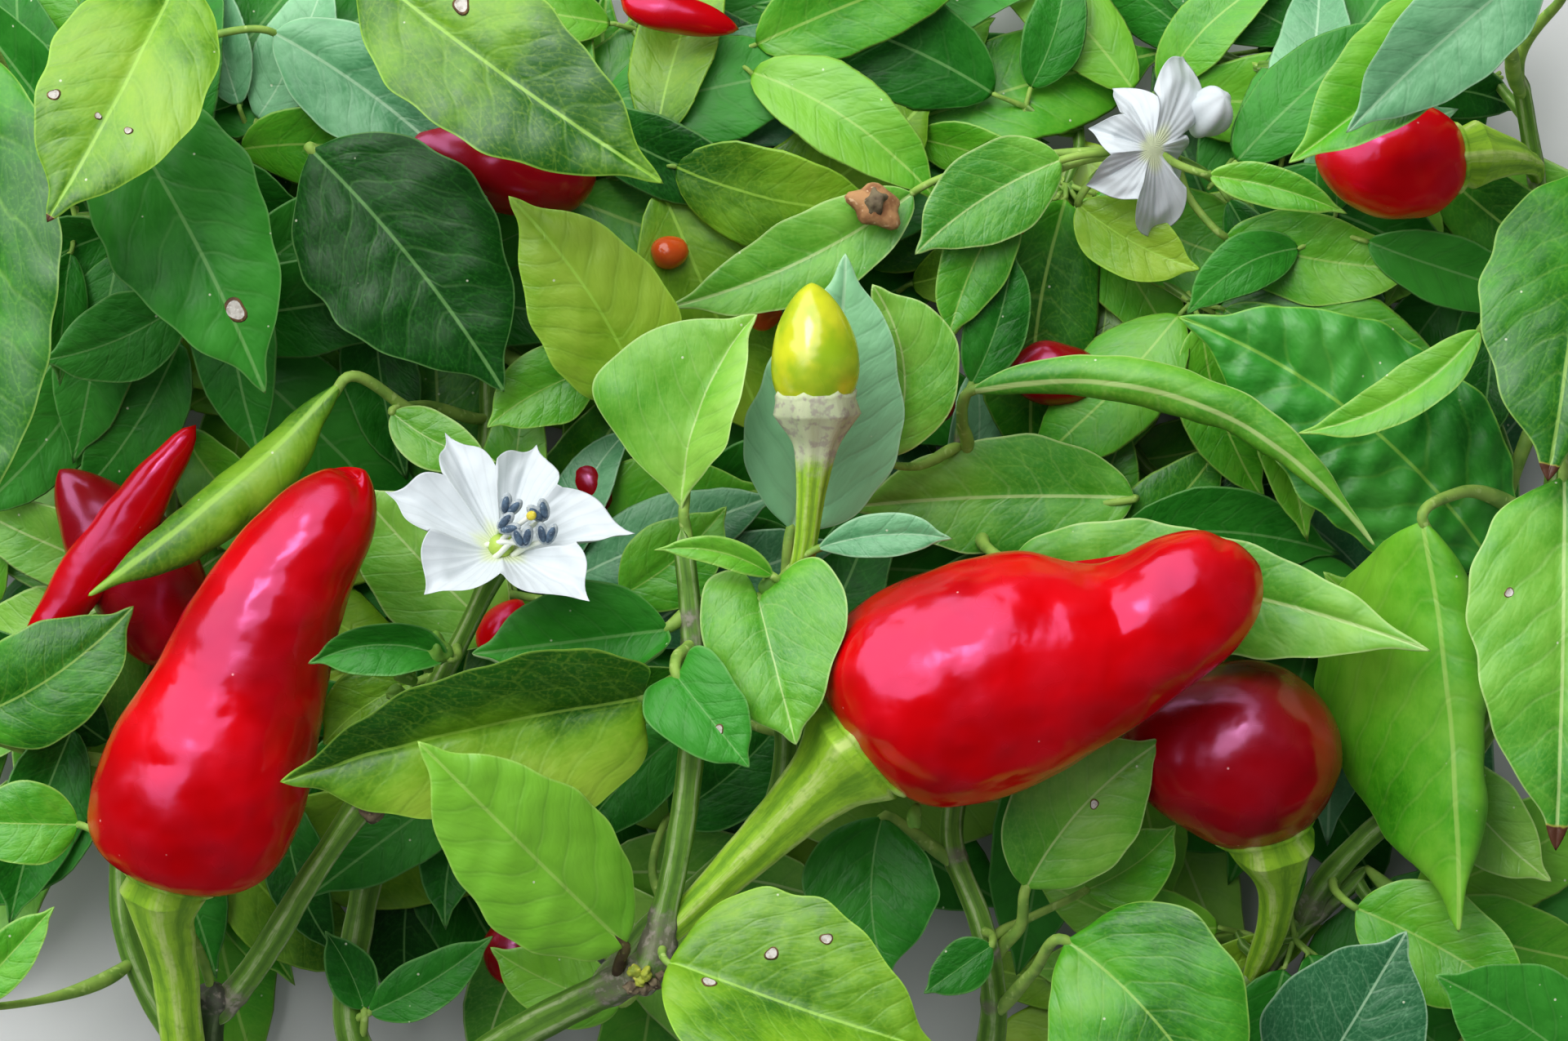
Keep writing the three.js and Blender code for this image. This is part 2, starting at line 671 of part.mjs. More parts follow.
// Leaves, named for where they sit
const LEAVES = [
  {
    name: "leaf_long_front", on: "centre_stem", share: 0.68, width: 20.6, belly: 0.32, fullness: 0.66,
    base: [-13.9, -17.4, 41.5], tip: [-49.4, -25.6, 46], arch: 2, fold: 25, roll: -24, curl: -10, sweep: 1,
    lobe: 1.6,
  },
  {
    name: "leaf_low_front", on: "centre_bough", share: 0.97, width: 15.4, belly: 0.42,
    base: [-15.6, -41.6, 38.5], tip: [-35.9, -21.6, 50], arch: 1.6, fold: 12, roll: 6, curl: -14,
  },
  {
    name: "leaf_bottom", on: "centre_stem", share: 0.08, width: 22, belly: 0.36,
    base: [-11.2, -43.4, 39.4], tip: [15.4, -52.4, 41], arch: 1.6, fold: 28, roll: -26, curl: -10,
  },
  {
    name: "leaf_heart", on: "young_fruit_stem", share: 0.96, width: 13.8, belly: 0.3, fullness: 0.7,
    base: [-2.5, -7.8, 39.6], tip: [1.2, -22, 43.6], arch: 0.8, fold: 12, roll: 8, curl: -14, lobe: 3.6,
  },
  {
    name: "leaf_small_heart", on: "centre_stem", share: 0.74, width: 9.8, belly: 0.28, fullness: 0.7,
    base: [-10.4, -15.4, 42.4], tip: [-3.4, -24.2, 45.4], arch: 0.6, fold: 10, curl: -10, lobe: 1.6,
  },
  {
    name: "leaf_dark_folded", on: "centre_stem", share: 0.8, width: 12, belly: 0.42,
    base: [-11.4, -10.6, 37.4], tip: [-30.6, -13, 40.4], arch: 0.6, fold: 36, roll: -18, curl: 10,
  },
  {
    name: "leaf_blue_behind", on: "young_fruit_stem", share: 0.9, width: 15.6, belly: 0.36,
    base: [0.8, -0.6, 30], tip: [6, 26.2, 33], arch: 0.6, fold: 8, roll: 6, curl: -10, sweep: 1.3,
  },
  {
    name: "leaf_folded_mid", on: "centre_stem", share: 0.97, width: 22.4, belly: 0.36,
    base: [-9.9, 0.8, 34.6], tip: [-2.6, 20.2, 37], arch: 0.6, fold: 26, roll: -24, curl: -8, sweep: -2,
  },
  {
    name: "leaf_upper_mid", on: "back_bough", share: 0.72, width: 14, belly: 0.38,
    base: [-13.6, 11.4, 25.6], tip: [-27, 31.8, 32], arch: 1.4, fold: 10, curl: -10, sweep: 1.4,
  },
  {
    name: "leaf_low_right", on: "low_twig", share: 0.2, width: 13, belly: 0.4,
    base: [23.8, -35.8, 26], tip: [37.2, -21.4, 28.6], arch: 1, fold: 10, roll: 6, curl: -10, sweep: -1.4,
  },
  {
    name: "leaf_dark_oval", on: "low_twig", share: 0.36, width: 14, belly: 0.42,
    base: [9.6, -29.2, 24], tip: [10.2, -45.4, 26], arch: 0.6, fold: 8, sweep: 1.4, small: true,
  },
  {
    name: "leaf_round_bottom", on: "low_twig", share: 0.12, width: 21, belly: 0.38,
    base: [28, -41.4, 33], tip: [43, -59.4, 36], arch: 1.4, fold: 10, roll: 4, curl: -12, sweep: -1.6,
  },
  {
    name: "leaf_bottom_right", on: "right_bough", share: 0.74, width: 16.6, belly: 0.42,
    base: [50.4, -57.6, 25], tip: [61, -40.2, 31], arch: 1, fold: 8, small: true,
  },
  {
    name: "leaf_behind_fruit", on: "low_twig", share: 0.84, width: 14.4, belly: 0.36,
    base: [22.4, -4, 23], tip: [63.4, -12.8, 34.5], arch: -1, fold: 10, curl: -6, sweep: -1.6,
  },
  {
    name: "leaf_hanging_right", on: "upper_right_bough", share: 0.5, width: 25, belly: 0.36,
    base: [62.6, -0.6, 29], tip: [66.1, -40.4, 27], arch: 0.6, fold: 38, roll: 38, curl: -6, sweep: -1,
  },
  {
    name: "leaf_right_edge", on: "upper_right_bough", share: 0.56, width: 19, belly: 0.34,
    base: [76.4, 3.6, 41], tip: [75.6, -32.4, 45], arch: 2, fold: 12, curl: -12,
  },
  {
    name: "leaf_right_top_edge", on: "upper_right_bough", share: 0.7, width: 19, belly: 0.42,
    base: [79, 34, 37], tip: [74.8, 3.8, 46], arch: 2, fold: 10, curl: -14,
  },
  {
    name: "leaf_arched", on: "low_twig", share: 0.97, width: 12, belly: 0.42,
    base: [18.2, 12.6, 23], tip: [58, -2.6, 26.4], arch: 3, fold: 24, roll: 10, curl: -20, sweep: -7,
  },
  {
    name: "leaf_quilted", on: "upper_right_bough", share: 0.62, width: 20, belly: 0.4,
    base: [69.4, -4.4, 17.6], tip: [38.6, 20, 23], arch: 1.6, fold: 8, curl: -12, sweep: 3.2,
  },
  {
    name: "leaf_top_right", on: "upper_right_bough", share: 0.99, width: 12.6, belly: 0.4,
    base: [67, 51, 40], tip: [49.4, 35, 45], arch: 1.4, fold: 34, roll: 16, curl: -8, sweep: -1,
  },
  {
    name: "leaf_top_left", on: "upper_left_bough", share: 0.96, width: 16.6, belly: 0.42,
    base: [-59.4, 53, 42], tip: [-72.2, 29.2, 51], arch: 2, fold: 14, roll: 8, curl: -14, sweep: -0.6,
  },
  {
    name: "leaf_left_edge", on: "upper_left_bough", share: 0.86, width: 14.6, belly: 0.4,
    base: [-77.8, 45, 36], tip: [-78.6, -1.6, 43], arch: 2.4, fold: 14, roll: 10, curl: -12, sweep: -1,
  },
  {
    name: "leaf_spotted_left", on: "upper_left_bough", share: 0.92, width: 17, belly: 0.4,
    base: [-66.4, 42, 30], tip: [-50.8, 12.4, 33], arch: 2, fold: 8, curl: -12, sweep: -1,
  },
  {
    name: "leaf_top_centre", on: "back_bough", share: 0.97, width: 16.4, belly: 0.4,
    base: [-41, 54, 38], tip: [-11.8, 33, 45], arch: 2, fold: 14, roll: -6, curl: -14, sweep: 0.6,
  },
  {
    name: "leaf_rolled_left", on: "back_bough", share: 0.6, width: 14, belly: 0.44, small: true,
    base: [-43.8, 13.2, 27], tip: [-68.2, -7.4, 29], arch: 2, fold: 46, roll: 24, curl: 20, sweep: -1,
  },
  {
    name: "leaf_dark_left", on: "back_bough", share: 0.86, width: 20, belly: 0.4,
    base: [-46, 36, 25], tip: [-27.4, 12.6, 26], arch: 1.4, fold: 8, curl: -8, sweep: -1,
  },
];
LEAVES.forEach(addLeaf);

// Masses of the leaves that lie behind
const MASSES = [
  { name: "mass_top_left", centre: [-56, 30, 6], size: [21, 21, 11], seed: 0.4 },
  { name: "mass_left", centre: [-62, -14, 5], size: [18, 20, 10], seed: 1.9 },
  { name: "mass_top", centre: [-8, 33, 6], size: [24, 20, 11], seed: 3.1 },
  { name: "mass_top_right", centre: [48, 33, 6], size: [28, 19, 12], seed: 4.4 },
  { name: "mass_centre", centre: [-19, -15, 6], size: [26, 22, 10], seed: 0.9 },
  { name: "mass_right", centre: [40, -6, 5], size: [30, 16, 9], seed: 5.2 },
  { name: "mass_low_right", centre: [58, -46, 5], size: [22, 12, 9], seed: 2.6 },
];
MASSES.forEach(addMass);

// The origin goes to the middle of the underside of the whole branch's box.
const box = new THREE.Box3().setFromObject(plan, true);
plan.position.set(-(box.min.x + box.max.x) / 2, -(box.min.y + box.max.y) / 2, -box.min.z);

export default plan;
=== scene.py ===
"""Cut fruiting branch of a chilli pepper plant, lying on a pale floor and seen from straight above."""

import math

import bpy
import numpy as np
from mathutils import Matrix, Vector
from mathutils.bvhtree import BVHTree


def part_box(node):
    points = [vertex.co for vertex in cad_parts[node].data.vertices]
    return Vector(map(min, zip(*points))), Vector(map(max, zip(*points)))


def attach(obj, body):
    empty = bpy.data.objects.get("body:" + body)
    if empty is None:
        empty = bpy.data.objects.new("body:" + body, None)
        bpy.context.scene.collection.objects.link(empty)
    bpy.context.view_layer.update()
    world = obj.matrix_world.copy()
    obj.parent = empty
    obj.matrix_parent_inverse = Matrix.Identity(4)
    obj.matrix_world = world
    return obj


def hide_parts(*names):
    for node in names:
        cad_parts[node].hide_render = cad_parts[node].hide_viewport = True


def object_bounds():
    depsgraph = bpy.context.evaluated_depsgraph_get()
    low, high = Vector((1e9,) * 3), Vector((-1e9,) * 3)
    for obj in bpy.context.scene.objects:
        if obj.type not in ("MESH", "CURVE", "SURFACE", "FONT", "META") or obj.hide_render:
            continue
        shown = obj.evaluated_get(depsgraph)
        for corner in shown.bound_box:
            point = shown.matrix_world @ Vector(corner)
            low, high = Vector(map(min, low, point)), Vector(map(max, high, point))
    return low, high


bl_info = {
    "name": "Fruiting Pepper Branch",
    "version": (1, 0, 0),
    "blender": (4, 5, 0),
    "location": "3D View > Sidebar > Pepper",
    "description": "Builds the leaves, stems, fruits and flowers of a cut chilli pepper branch",
    "category": "Object",
}

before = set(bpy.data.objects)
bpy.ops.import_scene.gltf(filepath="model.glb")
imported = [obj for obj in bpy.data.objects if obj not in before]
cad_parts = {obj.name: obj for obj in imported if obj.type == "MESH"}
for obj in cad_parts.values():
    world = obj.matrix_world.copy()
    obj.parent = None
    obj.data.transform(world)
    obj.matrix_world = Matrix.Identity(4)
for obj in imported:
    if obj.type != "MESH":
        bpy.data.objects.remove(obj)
CAD_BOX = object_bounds()

MM = 0.001
PHOTO_SIZE = (1920, 1275)
# The eye stands over the middle of the photo
EYE = np.array([-1.059, 16.542, 729.0]) * MM
PIXEL = 0.08 * MM  # at the height of the fruits
FRUIT_HEIGHT = 45 * MM
SENSOR = 36.0
SOFT = 1.2  # millimetres that a stem's foot runs on into what carries it
RIB_TWIST = 0.035  # turn of the ribs round a stem, in radians a millimetre
# How fine the meshes are: rows along and columns across a leaf, and sides round a stem
BIG_LEAF = (78, 33)
SMALL_LEAF = (44, 21)
FAR_LEAF = (17, 10)
LIMB_SIDES = 26
STALK_SIDES = 56
FRUIT_GRID = (120, 112)
FAR_FRUIT_GRID = (64, 56)
FAR_FRUIT_ROWS = 26
FAR_FRUIT_SIDES = 28
TWIG_SIDES = 10
BUD_GRID = (14, 30)
ANTHER_GRID = (16, 16)
HALF_LOBE = 18
SPOT_SIDES = 20


# numbers and curves
def linear(code):
    """An sRGB hex colour as linear RGBA."""
    parts = [int(code[i : i + 2], 16) / 255 for i in (1, 3, 5)]
    return tuple(c / 12.92 if c <= 0.04045 else ((c + 0.055) / 1.055) ** 2.4 for c in parts) + (1.0,)


def scaled(colour, factor):
    """A linear colour made lighter or darker, as RGBA."""
    return tuple(min(1.0, part * factor) for part in tuple(colour)[:3]) + (1.0,)


def seen(x, y, z):
    """The point at height z mm that shows at a pixel of the photo."""
    spread = (EYE[2] - z * MM) / (EYE[2] - FRUIT_HEIGHT)
    across = (x - PHOTO_SIZE[0] / 2) * PIXEL * spread
    up = (PHOTO_SIZE[1] / 2 - y) * PIXEL * spread
    return np.array([EYE[0] + across, EYE[1] + up, z * MM])


def unit(vectors):
    length = np.linalg.norm(vectors, axis=-1, keepdims=True)
    return vectors / np.maximum(length, 1e-12)


def spline(knots, values, places):
    """Smooth curve through values at the knots, read at the places."""
    knots, values = np.asarray(knots, float), np.asarray(values, float)
    shape = (-1,) + (1,) * (values.ndim - 1)
    step = np.diff(knots).reshape(shape)
    slope = np.diff(values, axis=0) / step
    inner = (slope[:-1] * step[1:] + slope[1:] * step[:-1]) / (step[:-1] + step[1:])
    tangent = np.concatenate([slope[:1], inner, slope[-1:]])
    k = np.clip(np.searchsorted(knots, places, side="right") - 1, 0, len(knots) - 2)
    h = (knots[k + 1] - knots[k]).reshape(shape)
    s = (np.asarray(places) - knots[k]).reshape(shape) / h
    rise = (2 * s**3 - 3 * s**2 + 1) * values[k] + (3 * s**2 - 2 * s**3) * values[k + 1]
    return rise + h * ((s**3 - 2 * s**2 + s) * tangent[k] + (s**3 - s**2) * tangent[k + 1])


def chords(points, power=1.0):
    """Running length along a row of points, each a point or a ring."""
    step = np.linalg.norm(np.diff(points, axis=0), axis=-1)
    step = step.reshape(len(step), -1).mean(axis=1)
    return np.concatenate([[0], np.cumsum(np.maximum(step, 1e-6) ** power)])


def lumps(points, size, seed):
    """Smooth random value from -1 to 1 with lumps of about that size."""
    rng = np.random.default_rng(int(seed * 100) + 7)
    total = np.zeros(points.shape[:-1])
    for octave in range(5):
        way = unit(rng.normal(size=3)) * 2 * math.pi / (size * rng.uniform(0.7, 1.6))
        total += np.sin(points @ way + rng.uniform(0, 2 * math.pi))
    return total / 3


def turns(sides):
    """The angles of the points round a ring."""
    return np.arange(sides) * 2 * math.pi / sides


def circle(side, other, angle):
    """The directions at those angles between two square directions."""
    return side * np.cos(angle)[:, None] + other * np.sin(angle)[:, None]


def smooth_step(low, high, value):
    t = np.clip((value - low) / (high - low), 0, 1)
    return t * t * (3 - 2 * t)


# reading the solids
def levels_from(near, start):
    seen_so_far, levels = {start}, [[start]]
    while True:
        following = sorted({j for i in levels[-1] for j in near[i]} - seen_so_far)
        if not following:
            return levels
        seen_so_far |= set(following)
        levels.append(following)


def loop_of(level, near):
    members, loop = set(level), [level[0]]
    while len(loop) < len(level):
        loop.append(min(i for i in near[loop[-1]] & members if i not in loop))
    return loop


def match(ring, before):
    """The ring started and turned so that its points follow on from the ring before."""
    count = len(ring)
    turned = [np.roll(r, -s, axis=0) for r in (ring, ring[::-1]) for s in range(count)]
    return min(turned, key=lambda r: ((r - before) ** 2).sum())


def node_loft(name, wide_first=True):
    """The first end point, the rings and the last end point of a lofted solid, from its mesh."""
    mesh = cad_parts[name].data
    places = {}
    index = [places.setdefault(tuple(round(c, 7) for c in v.co), len(places)) for v in mesh.vertices]
    points = np.array(list(places))
    near = [set() for _ in points]
    for polygon in mesh.polygons:
        corners = [index[i] for i in polygon.vertices]
        for a, b in zip(corners, corners[1:] + corners[:1]):
            if a != b:
                near[a].add(b)
                near[b].add(a)
    for start in range(len(points)):
        levels = levels_from(near, start)
        sizes = {len(level) for level in levels[1:-1]}
        if len(levels[-1]) == 1 and len(sizes) == 1 and min(sizes) > 2:
            break
    else:
        raise RuntimeError(f"{name} is not a loft")
    rings = [points[loop_of(level, near)] for level in levels[1:-1]]
    for i in range(1, len(rings)):
        rings[i] = match(rings[i], rings[i - 1])
    rings = np.array(rings)
    girth = np.linalg.norm(rings - rings.mean(axis=1, keepdims=True), axis=2).mean(axis=1)
    third = max(1, len(rings) // 3)
    if (girth[:third].sum() >= girth[-third:].sum()) != wide_first:
        return points[levels[-1][0]], rings[::-1], points[levels[0][0]]
    return points[levels[0][0]], rings, points[levels[-1][0]]


# building meshes
class Skin:
    """Collects lofted surfaces and makes one mesh object of them. Each point carries paint, which is
    three numbers for the material's pattern, and a tone."""

    def __init__(self):
        self.points, self.paint, self.tone = [], [], []
        self.quads, self.triangles, self.quad_slots, self.triangle_slots = [], [], [], []
        self.count = 0

    def put(self, points, paint, tone):
        points = np.asarray(points, float).reshape(-1, 3)
        self.points.append(points)
        self.paint.append(np.broadcast_to(np.asarray(paint, float), points.shape))
        self.tone.append(np.broadcast_to(np.asarray(tone, float), len(points)))
        self.count += len(points)
        return self.count - len(points)

    def loft(self, rings, first=None, last=None, paint=(0, 0, 0), tone=0.5, slots=0):
        """Adds the surface through closed rings. slots is one material number or one for each side."""
        rows, sides = rings.shape[:2]
        paint = np.broadcast_to(np.asarray(paint, float), rings.shape)
        tone = np.broadcast_to(np.asarray(tone, float), rings.shape[:2])
        slots = np.broadcast_to(np.asarray(slots), (sides,))
        start = self.put(rings, paint.reshape(-1, 3), tone.reshape(-1))
        index = start + np.arange(rows * sides).reshape(rows, sides)
        turned = np.roll(index, -1, axis=1)
        quads = np.stack([index[:-1], turned[:-1], turned[1:], index[1:]], axis=-1)
        fans = []
        for end, row, backward in ((first, 0, True), (last, -1, False)):
            if end is not None:
                pole = self.put(end, paint[row].mean(axis=0), tone[row].mean())
                fan = [turned[row], index[row]] if backward else [index[row], turned[row]]
                fans.append(np.stack(fan + [np.full(sides, pole)], axis=-1))
        body = rings.reshape(-1, 3)
        middle = body.mean(axis=0)
        a, b, c = (body[quads[..., i].reshape(-1) - start] - middle for i in (0, 1, 2))
        if np.einsum("ij,ij->i", a, np.cross(b, c)).sum() < 0:
            quads, fans = quads[..., ::-1], [fan[:, ::-1] for fan in fans]
        self.quads.append(quads.reshape(-1, 4))
        self.quad_slots.append(np.tile(slots, rows - 1))
        for fan in fans:
            self.triangles.append(fan)
            self.triangle_slots.append(slots)

    def make(self, name, materials):
        points = np.concatenate(self.points)
        quads = np.concatenate(self.quads)
        triangles = np.concatenate(self.triangles or [np.zeros((0, 3), int)])
        slots = np.concatenate(self.quad_slots + self.triangle_slots)
        mesh = bpy.data.meshes.new(name)
        mesh.vertices.add(len(points))
        mesh.vertices.foreach_set("co", points.astype(np.float32).ravel())
        mesh.loops.add(quads.size + triangles.size)
        corners = np.concatenate([quads.ravel(), triangles.ravel()])
        mesh.loops.foreach_set("vertex_index", corners.astype(np.int32))
        mesh.polygons.add(len(quads) + len(triangles))
        starts = np.concatenate([np.arange(len(quads)) * 4, quads.size + np.arange(len(triangles)) * 3])
        mesh.polygons.foreach_set("loop_start", starts.astype(np.int32))
        mesh.polygons.foreach_set("material_index", slots.astype(np.int32))
        mesh.update(calc_edges=True)
        mesh.validate()
        mesh.shade_smooth()
        paint = mesh.attributes.new("paint", "FLOAT_VECTOR", "POINT")
        paint.data.foreach_set("vector", np.concatenate(self.paint).astype(np.float32).ravel())
        tone = mesh.attributes.new("tone", "FLOAT", "POINT")
        tone.data.foreach_set("value", np.concatenate(self.tone).astype(np.float32))
        for material in materials:
            mesh.materials.append(material)
        made = bpy.data.objects.new(name, mesh)
        bpy.context.scene.collection.objects.link(made)
        return made


def carry(piece, slot, *nodes):
    """The piece rides on the branch, takes a slot's finish and stands for its solids."""
    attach(piece, "root")
    if nodes:
        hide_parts(*nodes)
    return piece


def tube_frames(path):
    """Square directions across a path that turn as little as they can."""
    tangent = unit(np.gradient(path, axis=0))
    side = np.zeros_like(path)
    guide = np.array([0.0, 0.0, 1.0]) if abs(tangent[0][2]) < 0.8 else np.array([1.0, 0.0, 0.0])
    for i, way in enumerate(tangent):
        guide = unit(guide - way * guide.dot(way))
        side[i] = guide
    return tangent, side, np.cross(tangent, side)


def tube_rings(path, radii, sides):
    """Rings round a path. radii is one number a ring, or one for each point of it."""
    _, side, other = tube_frames(path)
    radii = radii[:, None, None] if radii.ndim == 1 else radii[..., None]
    return path[:, None] + circle(side[:, None], other[:, None], turns(sides)) * radii


def fine_path(points, radii, step):
    knots = chords(points)
    places = np.linspace(0, knots[-1], max(4, int(knots[-1] / step)))
    return spline(knots, points, places), np.maximum(spline(knots, radii, places), min(radii) / 3), places


def rod(skin, points, radii, step, sides, slot, tone=0.5):
    """Adds a rod along a row of points and returns its rings. radii and step are in millimetres."""
    path, radii, _ = fine_path(np.array(points), np.array(radii) * MM, step * MM)
    rings = tube_rings(path, radii, sides)
    skin.loft(rings, path[0], path[-1], tone=tone, slots=slot)
    return rings


# materials
SMOOTH = {"interpolation_type": "SMOOTHSTEP"}


def add(tree, kind, inputs=None, output=0, **settings):
    """Adds a node with its settings and gives one of its outputs. An input is a value or the socket that
    feeds it."""
    made = tree.nodes.new("ShaderNode" + kind)
    for key, value in settings.items():
        setattr(made, key, value)
    for key, value in (inputs or {}).items():
        if isinstance(value, bpy.types.NodeSocket):
            tree.links.new(value, made.inputs[key])
        else:
            made.inputs[key].default_value = value
    return made.outputs[output]


def surface(name, shader):
    """A new material with those fixed values in its shader, its node tree, and the place on the piece."""
    material = bpy.data.materials.new(name)
    material.use_nodes = True
    tree = material.node_tree
    for key, value in shader.items():
        tree.nodes["Principled BSDF"].inputs[key].default_value = value
    return material, tree, add(tree, "TexCoord", output="Object")


def fed(material, feeds):
    """The material, with each socket fed into its shader."""
    tree = material.node_tree
    for key, socket in feeds.items():
        tree.links.new(socket, tree.nodes["Principled BSDF"].inputs[key])
    return material


def layered(tree, base, *layers):
    """Lays colours over a base colour, each through its mask."""
    for mask, colour in layers:
        base = add(tree, "Mix", {0: mask, 6: base, 7: colour}, 2, data_type="RGBA", clamp_factor=True)
    return base


def scattered(tree, place, scale, rim, middle, strength=1.0):
    """A mask of round dots with four of five left out. A dot starts at the rim, that far from its middle,
    and has its full strength within the other distance."""
    cells = add(tree, "TexVoronoi", {"Vector": place, "Scale": scale})
    dot = add(tree, "MapRange", {0: cells, 1: rim, 2: middle, 4: strength}, **SMOOTH)
    some = add(tree, "Math", {0: cells.node.outputs["Color"], 1: 0.8}, operation="GREATER_THAN")
    return add(tree, "Math", {0: dot, 1: some}, operation="MULTIPLY")


def pericarp(name, ripe, deep, pale, speck, shader, patches=70.0, gloss=(0.15, 0.3)):
    """Fruit skin: a thin waxy cuticle over wet flesh. It gives a hard wide highlight with uneven edges,
    deeper colour in the hollows, and a scatter of tiny pale specks."""
    material, tree, place = surface(name, shader)
    clouds = add(tree, "TexNoise", {"Vector": place, "Scale": patches, "Detail": 3, "Roughness": 0.5})
    shade = add(tree, "MapRange", {0: clouds, 1: 0.4, 2: 0.7}, **SMOOTH)
    light = add(tree, "MapRange", {0: clouds, 1: 0.45, 2: 0.25}, **SMOOTH)
    light = add(tree, "Math", {0: light, 1: 0.5}, operation="MULTIPLY")
    # Specks 0.2 mm across, about 1.6 mm apart
    dots = scattered(tree, place, 620, 0.1, 0.04)
    colour = layered(tree, ripe, (shade, deep), (light, pale), (dots, speck))
    # The wax is wavy over 3 to 5 mm and pebbled over half a millimetre
    waves = add(tree, "TexNoise", {"Vector": place, "Scale": 240, "Detail": 1.5, "Roughness": 0.4})
    dull = add(tree, "MapRange", {0: waves, 1: 0.35, 2: 0.7, 3: gloss[0], 4: gloss[1]})
    pebbles = add(tree, "TexNoise", {"Vector": place, "Scale": 1700, "Detail": 1})
    wavy = add(tree, "Bump", {"Strength": 0.9, "Distance": 0.55 * MM, "Height": waves})
    fine = {"Strength": 0.12, "Distance": 0.06 * MM, "Height": pebbles, "Normal": wavy}
    return fed(material, {"Base Color": colour, "Roughness": dull, "Normal": add(tree, "Bump", fine)})


